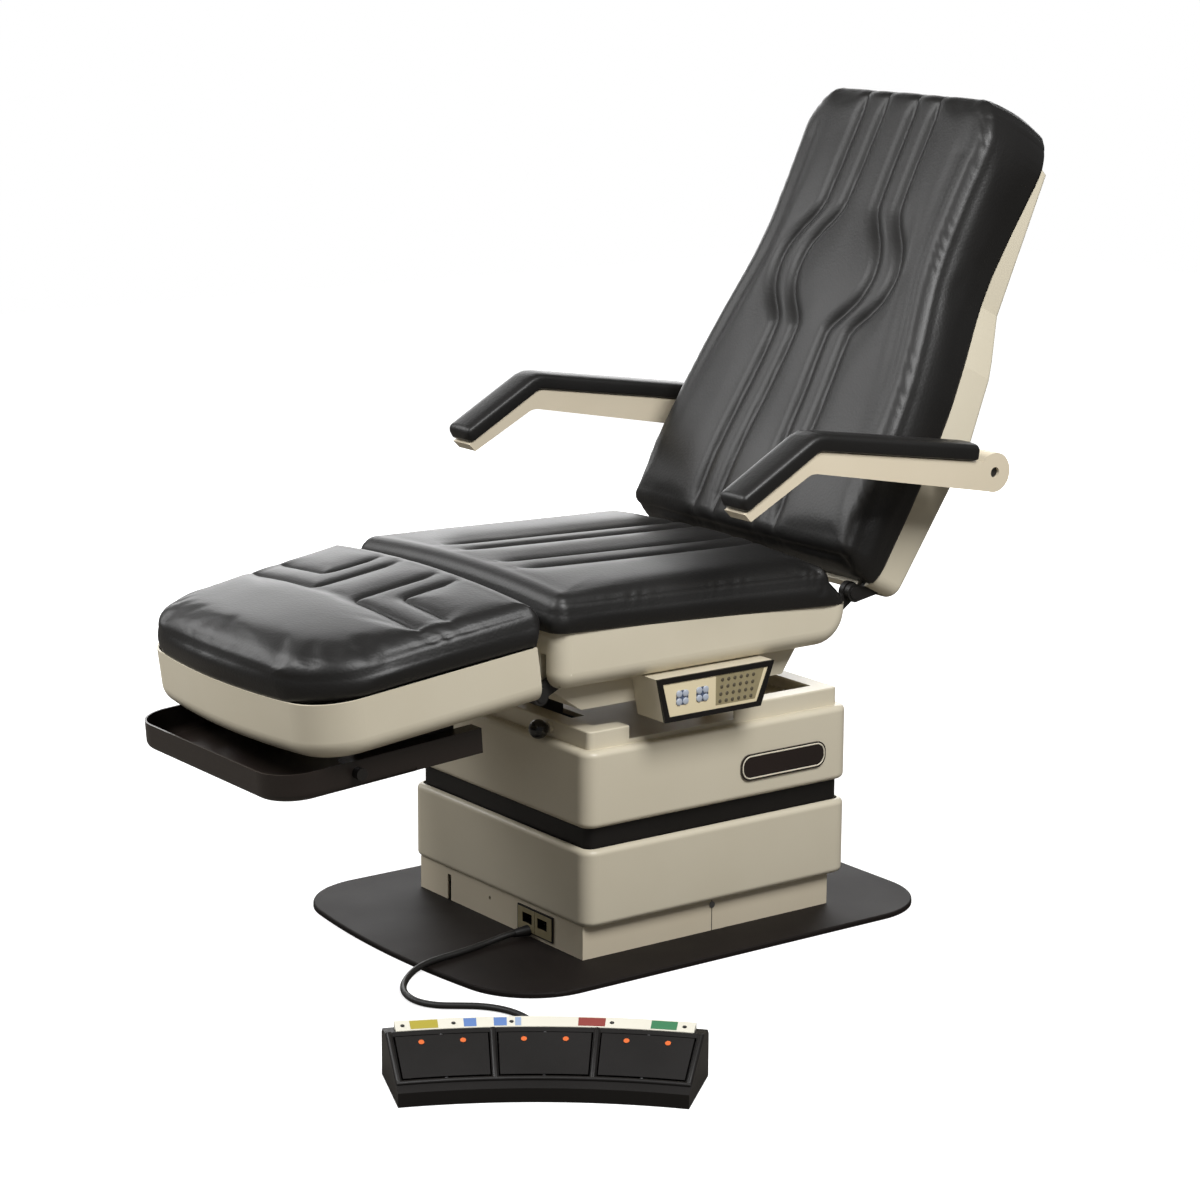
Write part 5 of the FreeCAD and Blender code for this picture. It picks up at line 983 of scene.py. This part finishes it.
@dataclass
class ArmPad:
    """Padded rest along the top of an arm bar, bent with it."""

    side: int
    middle: float = 360.0
    half: float = 30.0
    thick: float = 27.0
    end_round: float = 12.0
    end_grip: float = 0.55
    end_level: float = 0.4
    end_tip: float = 0.02
    bar_gap: float = 0.2
    side_power: float = 0.42
    top_power: float = 0.5
    foot_power: float = 0.25
    seam_depth: float = 1.3
    seam_level: float = 0.42
    seam_half: float = 1.6
    crown_rise: float = 1.5
    line: Outline = (
        (418.9, 734.3), (110.0, 780.1), (97.0, 782.0), (87.0, 776.4), (-43.0, 703.0))
    line_rounds: int = 3
    steps: int = 90
    ring: int = 48

    def path(self) -> Array:
        """Space points along the bar's top line, closer together at its ends.

        Returns:
            Y, Z and the run from the start, a row for each point.
        """
        points = softened(self.line, self.line_rounds)
        run = np.concatenate([[0], np.cumsum(np.hypot(*np.diff(points, axis=0).T))])
        wanted = run[-1] * (0.5 + 0.5 * eased(self.steps, 0.5))
        return np.stack([*(np.interp(wanted, run, values) for values in points.T), wanted], 1)

    def section(self) -> Array:
        """Work out the rounded section across the pad.

        Returns:
            Sideways and up from the bottom face, a row for each point.
        """
        turn = np.linspace(0, 2 * math.pi, self.ring, endpoint=False)
        wide, tall = np.cos(turn), np.sin(turn)
        sideways = np.sign(wide) * np.abs(wide) ** self.side_power * self.half
        power = np.where(tall > 0, self.top_power, self.foot_power)
        up = (np.sign(tall) * np.abs(tall) ** power + 1) * self.thick / 2
        seam = self.seam_depth * bell(up - self.thick * self.seam_level, self.seam_half) * np.sign(sideways)
        crown = np.where(tall > 0, self.crown_rise * (1 - (sideways / self.half) ** 2), 0)
        return np.stack([sideways - seam, up + crown], 1)

    def build(self) -> None:
        """Loft the section along the bar and hang the pad on its arm."""
        path, section = self.path(), self.section()
        ahead = np.gradient(path[:, :2], axis=0)
        ahead = ahead / np.hypot(*ahead.T)[:, None]
        total, level = path[-1, 2], self.thick * self.end_level
        rows = []
        for (y, z, run), (dy, dz) in zip(path, ahead):
            short = min(run, total - run, self.end_round)
            share = math.sqrt(max(1 - ((self.end_round - short) / self.end_round) ** 2, self.end_tip ** 2))
            grip = self.end_grip + (1 - self.end_grip) * share
            rises = level + (section[:, 1] - level) * share + self.bar_gap
            rows.append([((self.side * self.middle + sideways * grip) * MM, (y + dz * rise) * MM,
                          (z - dy * rise) * MM) for sideways, rise in zip(section[:, 0], rises)])
        hand = "left" if self.side > 0 else "right"
        piece = make_piece(f"arm_rest_{hand}", *skinned(rows), Finishes.VINYL)
        report(piece, f"arm_{hand}")
        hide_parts(f"arm_pad_{hand}")


@dataclass
class ControlCord:
    """Round cord from the plinth to the foot control."""

    diameter: float = 10.0
    length: float = 677.0
    route: tuple[Spot, ...] = (
        (83, -246, 18), (83, -260, 18), (85.5, -290, 14.6), (90, -318, 13.3), (97, -352, 13.2),
        (102, -386, 13.3), (108, -420, 13.4), (119, -452, 11), (139, -481, 6.6), (166, -503, 5.2),
        (197, -515, 5.2), (229, -515, 5.2), (256, -500, 5.2), (275, -474, 5.2), (295, -449, 5.2),
        (321, -432, 5.2), (351, -424, 5.2), (383, -425, 5.2), (412, -437, 6.4), (436, -459, 10.5),
        (457, -486, 17), (478.47, -507.1, 22), (491.71, -516.09, 22))

    def build(self) -> None:
        """Lay the cord along its route as one smooth spline."""
        curve = bpy.data.curves.new("control_cord", "CURVE")
        curve.dimensions = "3D"
        curve.bevel_depth = self.diameter / 2 * MM
        curve.bevel_resolution = 6
        curve.use_fill_caps = True
        spline = curve.splines.new("NURBS")
        spline.points.add(len(self.route) - 1)
        for point, (x, y, z) in zip(spline.points, self.route):
            point.co = (x * MM, y * MM, z * MM, 1)
        spline.order_u = 3
        spline.use_endpoint_u = True
        spline.resolution_u = 8
        curve.materials.append(Finishes.PVC.material())
        cord = link("control_cord", curve)
        report(cord, "base")
        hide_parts("foot_control_cord")


@dataclass
class FootControlTrim:
    """Sloped label strip, printed blocks, screws and raised frame of the foot control."""

    turn: float = 53.8
    centre: Pair = (590.0, -545.0)
    axis: float = -898.0
    half_angle: float = 12.6
    strip_front: Pair = (932.6, 70.9)
    strip_rear: Pair = (951.0, 79.0)
    strip_foot: float = 69.9
    strip_back: float = 1.8
    strip_drop: float = 1.2
    nose: Pair = (846.0, 26.0)
    crest: Pair = (932.0, 70.0)
    bead_half: float = 3.9
    bead_rise: float = 3.6
    bead_foot: float = 0.4
    bead_steps: int = 10
    bead_sizes: Outline = (
        (0.01, 0.25), (0.03, 0.8), (0.06, 1.0), (0.5, 1.0), (0.95, 1.0), (0.99, 0.8), (1.0, 0.4))
    lip_size: float = 0.9
    lip_reach: float = 0.2
    end_rib: float = 13.25
    rib: float = 4.417
    blocks: tuple[PrintInk, ...] = (
        PrintInk(0.050, 0.143, "#A89B3C", "#9C8F35"), PrintInk(0.229, 0.271, "#5F7DB3", "#5672A6"),
        PrintInk(0.329, 0.372, "#5F7DB3", "#5672A6"), PrintInk(0.400, 0.420, "#93A5C0", "#8899B5"),
        PrintInk(0.610, 0.700, "#8A403A", "#7E3833"), PrintInk(0.853, 0.940, "#3E7A54", "#366E4A"))
    block_section: Outline = ((0.1, 0.02), (0.9, 0.02), (0.9, 0.25), (0.1, 0.25))
    block_steps: int = 6
    sweep_steps: int = 40
    screws: tuple[float, ...] = (0.025, 0.195, 0.388, 0.722, 0.965)
    screw: Outline = ((3.0, -1.5), (3.0, 0.6), (2.5, 1.1), (1.1, 1.1), (0.9, 0.4))

    def point(self, radius: float, degrees: float, height: float) -> Vector:
        """Find a place on the control.

        Args:
            radius: Distance from the axis that the control bends round.
            degrees: Angle from the control's middle.
            height: Height above the floor.

        Returns:
            The place in metres.
        """
        angle = math.radians(degrees)
        local = Vector((-math.sin(angle) * radius, self.axis + math.cos(angle) * radius, height))
        spot = Matrix.Rotation(math.radians(self.turn), 3, "Z") @ local
        return (spot + Vector((*self.centre, 0))) * MM

    def on_strip(self, depth: float, share: float, rise: float) -> Vector:
        """A place on the strip's face, by shares of its depth and its length, and above it."""
        radius, height = on_slope(self.strip_front, self.strip_rear, depth, rise)
        return self.point(radius, self.half_angle * (1 - 2 * share), height)

    def swept(self, section: Points, half_angle: float) -> Form:
        """Sweep a closed section of radius and height from one end of the control to the other."""
        turns = half_angle * np.linspace(1, -1, self.sweep_steps + 1)
        return skinned([[self.point(radius, turn, height) for radius, height in section] for turn in turns])

    def build(self) -> None:
        """Make the strip, every block, the screws and the raised frame."""
        (front, low), (rear, high) = self.strip_front, self.strip_rear
        back = rear + self.strip_back
        wedge = [(front, self.strip_foot), (back, self.strip_foot), (back, high - self.strip_drop),
                 (rear, high), (front, low)]
        strip = make_piece("label_strip_wedge", *self.swept(wedge, self.half_angle), Finishes.LABEL, 32)
        report(strip, "base")
        for number, ink in enumerate(self.blocks, start=1):
            piece = make_piece(f"label_block_{number}", *self.block(ink), ink.finish(), 30)
            report(piece, "base")
        verts, faces = turned(self.screw, 20)
        seats = [self.on_strip(0.5, share, 0.0) for share in self.screws]
        forms = [([seat + vert * MM for vert in verts], faces) for seat in seats]
        report(make_piece("control_screws", *merged(forms), Finishes.CHASSIS, 35), "base")
        for number, degrees in enumerate((self.end_rib, self.rib, -self.rib, -self.end_rib), start=1):
            piece = make_piece(f"control_rib_{number}", *self.rib_bead(degrees), Finishes.ABS, 50)
            report(piece, "base")
        lip = make_piece("control_lip_bead", *self.lip_bead(), Finishes.ABS, 32)
        report(lip, "base")

    def block(self, ink: PrintInk) -> Form:
        """One printed block as a thin curved patch."""
        shares = [ink.start + (ink.end - ink.start) * step / self.block_steps
                  for step in range(self.block_steps + 1)]
        return skinned([[self.on_strip(depth, share, rise) for depth, rise in self.block_section]
                        for share in shares])

    def bead_section(self) -> list[Pair]:
        """Shape the half-round section of a bead, with its foot sunk a little.

        Returns:
            Sideways and up, a pair for each point.
        """
        turns = [math.pi * step / self.bead_steps for step in range(self.bead_steps + 1)]
        arch = [(self.bead_half * math.cos(turn), self.bead_rise * math.sin(turn)) for turn in turns]
        return [(self.bead_half, -self.bead_foot), *arch, (-self.bead_half, -self.bead_foot)]

    def rib_bead(self, degrees: float) -> Form:
        """Shape a rounded bar on the rib beside a pedal, down the slope.

        Args:
            degrees: Angle of the rib from the control's middle.

        Returns:
            Points in metres and faces.
        """
        rows = []
        for share, size in self.bead_sizes:
            row = []
            for sideways, up in self.bead_section():
                radius, height = on_slope(self.nose, self.crest, share, up * size if up > 0 else up)
                row.append(self.point(radius, degrees + math.degrees(sideways / radius), height))
            rows.append(row)
        return skinned(rows)

    def lip_bead(self) -> Form:
        """Shape a rounded bar along the lower lip, under the pedals.

        Returns:
            Points in metres and faces.
        """
        length = math.dist(self.crest, self.nose)
        section = [on_slope(self.nose, self.crest, (self.bead_half + sideways) / length, up * self.lip_size)
                   for sideways, up in self.bead_section()]
        return self.swept(section, self.end_rib + self.lip_reach)


@dataclass
class PanelTrim:
    """Keys and printed field on the membrane keypad beside the seat."""

    face: float = 287.5
    level: float = 413.0
    clusters: tuple[float, ...] = (-80.0, -42.0)
    spread: float = 8.6
    key: float = 5.6
    key_rise: float = 1.8
    pad: float = 11.5
    pad_rise: float = 0.5
    print_area: Outline = ((-16, 391), (60, 391), (77, 437), (-16, 437))
    print_rise: float = 0.3
    small_key: float = 3.0
    small_rise: float = 1.0
    dome: Outline = ((1, 0), (1, 0.6), (0.85, 1), (0.3, 1.1))
    rows: int = 4
    columns: int = 6
    row_start: float = -8.0
    row_low: float = 16.5
    row_pitch: float = 11.0
    row_shift: float = 1.5
    column_pitch: float = 12.0

    def build(self) -> None:
        """Make the round keys, the blue-grey fields under them, whose dark blue between the keys is painted
        shade, the printed area and the small keys.
        """
        offset = self.spread / math.sqrt(2)
        # One blue-grey disc under each key cluster. Where it shows between the keys, it is painted shade.
        fields_and_shade = [self.button(middle, self.level, self.pad, self.pad_rise) for middle in self.clusters]
        keys = [self.button(middle + dy * offset, self.level + dz * offset, self.key, self.key_rise)
                for middle in self.clusters for dz in SIDES for dy in SIDES]
        small = []
        for row in range(self.rows):
            start = self.row_start + row * self.row_shift
            level = self.level - self.row_low + row * self.row_pitch
            for column in range(self.columns):
                y = start + column * self.column_pitch
                small.append(self.button(y, level, self.small_key, self.small_rise))
        flat = skinned([[Vector((self.face + rise, y, z)) * MM for y, z in self.print_area]
                        for rise in (0.0, self.print_rise)])
        for name, form, finish, sharp in (("key_print", flat, Finishes.PRINT, 30),
                                          ("key_fields_and_shade", merged(fields_and_shade), Finishes.KEY_FIELD_AND_SHADE, 50),
                                          ("round_keys", merged(keys), Finishes.KEY_WHITE, 50),
                                          ("small_keys", merged(small), Finishes.KEY_GREY, 50)):
            report(make_piece(name, *form, finish, sharp), "seat")

    def button(self, y: float, z: float, radius: float, rise: float) -> Form:
        """Shape a domed button that stands out of the keypad.

        Args:
            y: Place of its middle along the panel.
            z: Height of its middle.
            radius: Radius at its foot.
            rise: Height at which its crown starts.

        Returns:
            Points in metres and faces.
        """
        verts, faces = turned([(radius * wide, rise * tall) for wide, tall in self.dome], 24)
        return [Vector((self.face + vert.z, y + vert.x, z + vert.y)) * MM for vert in verts], faces


@dataclass
class BadgeTrim:
    """Cream rim round the bare badge plate."""

    face: float = 243.0
    middle: Pair = (157.0, 266.0)
    half_long: float = 83.0
    half_high: float = 19.0
    corner: float = 17.0
    corner_steps: int = 8
    wide: float = 2.6
    proud: float = 0.8
    section: Outline = ((0, 0), (0.2, 0.7), (0.5, 1.0), (0.8, 0.7), (1, 0))

    def build(self) -> None:
        """Run a small rounded section round the plate's edge."""
        rows = []
        for quarter, (right, above) in enumerate(((1, 1), (-1, 1), (-1, -1), (1, -1))):
            y = self.middle[0] + (self.half_long - self.corner) * right
            z = self.middle[1] + (self.half_high - self.corner) * above
            for step in range(self.corner_steps + 1):
                turn = math.radians(90 * quarter + 90 * step / self.corner_steps)
                rows.append([Vector((self.face + self.proud * rise,
                                     y + (self.corner - self.wide * share) * math.cos(turn),
                                     z + (self.corner - self.wide * share) * math.sin(turn))) * MM
                             for share, rise in self.section])
        rim = make_piece("badge_rim", *skinned(rows, closed=True), Finishes.TRIM)
        report(rim, "carriage")


@dataclass
class InletTrim:
    """Frames and blades of the two sockets in the power inlet."""

    face: float = -218.5
    proud: float = 0.9
    sockets: Outline = ((68.0, 94.0), (108.0, 134.0))
    panels: Outline = ((56.5, 100.2), (101.8, 145.5))
    panel_low: float = 16.5
    panel_high: float = 52.5
    low: float = 29.0
    high: float = 45.0
    floor: float = -202.0
    blade: Outline = ((1.2, 0), (1.2, 8), (0.7, 9))
    blades: Outline = ((-6, -2.5), (6, -2.5), (0, 3))

    def build(self) -> None:
        """Make a raised frame round each socket and three blades inside."""
        frames, blades = [], []
        verts, faces = turned(self.blade, 12)
        level = (self.low + self.high) / 2
        front = self.face - self.proud
        for socket, panel in zip(self.sockets, self.panels):
            outer, inner = (*panel, self.panel_low, self.panel_high), (*socket, self.low, self.high)
            loops = ((self.face, outer), (self.face, inner), (front, inner), (front, outer))
            rows = [[Vector((box[i], y, box[j])) * MM for i, j in CORNERS] for y, box in loops]
            frames.append(skinned(rows, closed=True))
            for x, z in ((sum(socket) / 2 + dx, level + dz) for dx, dz in self.blades):
                spots = [Vector((x + vert.x, self.floor - vert.z, z + vert.y)) * MM for vert in verts]
                blades.append((spots, faces))
        report(make_piece("socket_frames", *merged(frames), Finishes.PRINT, 30), "base")
        report(make_piece("socket_blades", *merged(blades), Finishes.STEEL, 30), "base")


@dataclass
class PlinthTrim:
    """Shadow lines where the two halves of the plinth meet."""

    half: float = 224.0
    split: float = 32.0
    low: float = 8.2
    high: float = 60.8
    wide: float = 1.4
    proud: float = 0.15
    sunk: float = 0.1

    def build(self) -> None:
        """Make one thin line on each side."""
        box = (self.split - self.wide / 2, self.split + self.wide / 2, self.low, self.high)
        for side, hand in zip(SIDES, ("left", "right")):
            form = skinned([[Vector((side * x, box[i], box[j])) * MM for i, j in CORNERS]
                            for x in (self.half - self.sunk, self.half + self.proud)])
            report(make_piece(f"plinth_joint_{hand}", *form, Finishes.JOINT, 30), "base")


@dataclass
class CarriedPieces:
    """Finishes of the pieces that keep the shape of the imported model."""

    finishes: dict[str, Finish] = field(default_factory=lambda: {
        "cream_shell": Finishes.COVER, "cream_metal": Finishes.BAR, "black_vinyl": Finishes.VINYL,
        "plate_paint": Finishes.PLATE, "black_paint": Finishes.CHASSIS, "bare_steel": Finishes.STEEL,
        "black_plastic": Finishes.ABS, "tray_plastic": Finishes.TRAY, "knob_plastic": Finishes.PHENOLIC,
        "badge_plastic": Finishes.ENAMEL, "keypad_film": Finishes.FILM, "label_film": Finishes.LABEL,
        "orange_lens": Finishes.LENS, "black_rubber": Finishes.PVC})

    def dress(self, frame: dict[str, Any]) -> None:
        """Give every carried piece the finish of its slot.

        Args:
            frame: What the frame's loader returned.
        """
        for entry in frame["record"]["subparts"]:
            piece = frame["nodes"][entry["node"]]
            finish = self.finishes[entry["material_slot"]]
            piece.data.materials.clear()
            piece.data.materials.append(finish.material())
            LOG.info("%s gets %s", piece.name, finish.name)


@dataclass(frozen=True)
class Lamp:
    """One soft box: where it stands, what it faces, how large and how strong it is."""

    name: str
    stand: Spot
    aim: Spot
    wide: float
    high: float
    power: float

    def build(self) -> None:
        """Hang the soft box, unseen by the camera itself."""
        light = bpy.data.lights.new(self.name, "AREA")
        light.shape = "RECTANGLE"
        light.size, light.size_y = self.wide, self.high
        light.energy = self.power
        lamp = link(self.name, light)
        lamp.location = self.stand
        lamp.rotation_euler = (Vector(self.aim) - Vector(self.stand)).to_track_quat("-Z", "Y").to_euler()
        lamp.visible_camera = False


@dataclass
class Studio:
    """White floor, soft boxes and the camera at the photograph's angle."""

    focal: float = 95.83
    yaw: float = 53.745
    pitch: float = 12.7205
    roll: float = 0.293
    stand: Spot = (3.9507, -2.9200, 1.6079)
    floor_half: float = 7.0
    floor_drop: float = 0.0005
    ambient: float = 0.16
    lamps: tuple[Lamp, ...] = (
        Lamp("side_box", (2.0, -0.1, 2.5), (0.1, 0.1, 0.75), 1.2, 1.2, 84),
        Lamp("front_box", (-0.3, -2.7, 3.2), (0.0, -0.2, 0.5), 1.5, 1.5, 98),
        Lamp("back_wall", (-3.2, 2.4, 1.6), (0.0, 0.0, 0.7), 4.2, 2.4, 112),
        Lamp("left_card", (-2.5, -1.9, 2.3), (0.0, 0.4, 1.0), 1.8, 1.6, 54))

    def build(self) -> None:
        """Set up floor, world, lamps, camera and view."""
        self.floor()
        self.world()
        for lamp in self.lamps:
            lamp.build()
        self.camera()
        bpy.context.scene.view_settings.view_transform = "Standard"

    def floor(self) -> None:
        """A floor that is white to the camera, keeps a light shadow and stays dim in reflections."""
        box = (-self.floor_half, self.floor_half) * 2
        mesh = bpy.data.meshes.new("floor")
        mesh.from_pydata([(box[i], box[j], -self.floor_drop) for i, j in CORNERS], [], [(0, 1, 2, 3)])
        material = bpy.data.materials.new("Studio_paper_white")
        material.use_nodes = True
        tree = material.node_tree
        seen = set_node(tree, "ShaderNodeLightPath").outputs["Is Camera Ray"]
        tone = set_node(tree, "ShaderNodeMix", {6: linear("#6E6A64"), 7: linear("#D0D0D0")}, {0: seen},
                        data_type="RGBA")
        spot = set_node(tree, "ShaderNodeNewGeometry").outputs["Position"]
        reach = set_node(tree, "ShaderNodeVectorMath", {}, {0: spot}, operation="LENGTH")
        fade = set_node(tree, "ShaderNodeMapRange",
                        {"From Min": 0.9, "From Max": 2.2, "To Min": 0.62, "To Max": 1.0},
                        {"Value": reach.outputs["Value"]}, interpolation_type="SMOOTHSTEP")
        glow = set_node(tree, "ShaderNodeMath", {}, {0: fade.outputs["Result"], 1: seen},
                        operation="MULTIPLY")
        set_node(tree, "Principled BSDF",
                 {"Roughness": 0.9, "Specular IOR Level": 0.0, "Emission Color": WHITE},
                 {"Base Color": tone.outputs[2], "Emission Strength": glow.outputs[0]})
        mesh.materials.append(material)
        link("floor", mesh)

    def world(self) -> None:
        """White to the camera, dim as a light and in reflections."""
        world = bpy.data.worlds.new("studio")
        bpy.context.scene.world = world
        world.use_nodes = True
        tree = world.node_tree
        seen = set_node(tree, "ShaderNodeLightPath").outputs["Is Camera Ray"]
        strength = set_node(tree, "ShaderNodeMapRange", {"To Min": self.ambient, "To Max": 1.0},
                            {"Value": seen})
        set_node(tree, "Background", {"Color": WHITE}, {"Strength": strength.outputs["Result"]})

    def camera(self) -> None:
        """The fitted camera, level but for a small roll."""
        yaw, pitch, roll = (math.radians(angle) for angle in (self.yaw, self.pitch, self.roll))
        ahead = Vector((-math.sin(yaw) * math.cos(pitch), math.cos(yaw) * math.cos(pitch), -math.sin(pitch)))
        right = Vector((math.cos(yaw), math.sin(yaw), 0))
        tipped = right * math.cos(roll) + right.cross(ahead) * math.sin(roll)
        lens = bpy.data.cameras.new("photograph")
        lens.lens = self.focal
        lens.sensor_width = 36
        lens.sensor_fit = "HORIZONTAL"
        lens.clip_end = 60
        camera = link("photograph", lens)
        turn = Matrix((tipped, tipped.cross(ahead), -ahead)).transposed().to_4x4()
        camera.matrix_world = Matrix.Translation(self.stand) @ turn
        bpy.context.scene.camera = camera


def main() -> None:
    """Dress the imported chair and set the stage."""
    logging.basicConfig(level=logging.INFO, format="%(name)s: %(message)s")
    for item in list(bpy.data.objects):
        bpy.data.objects.remove(item)
    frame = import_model()
    CarriedPieces().dress(frame)
    for part in (ControlCord(), SeatCushion(), FootCushion(), BackCushion(), ArmPad(1), ArmPad(-1),
                 FootControlTrim(), PanelTrim(), BadgeTrim(), InletTrim(), PlinthTrim(), Studio()):
        part.build()


if __name__ == "__main__":
    main()
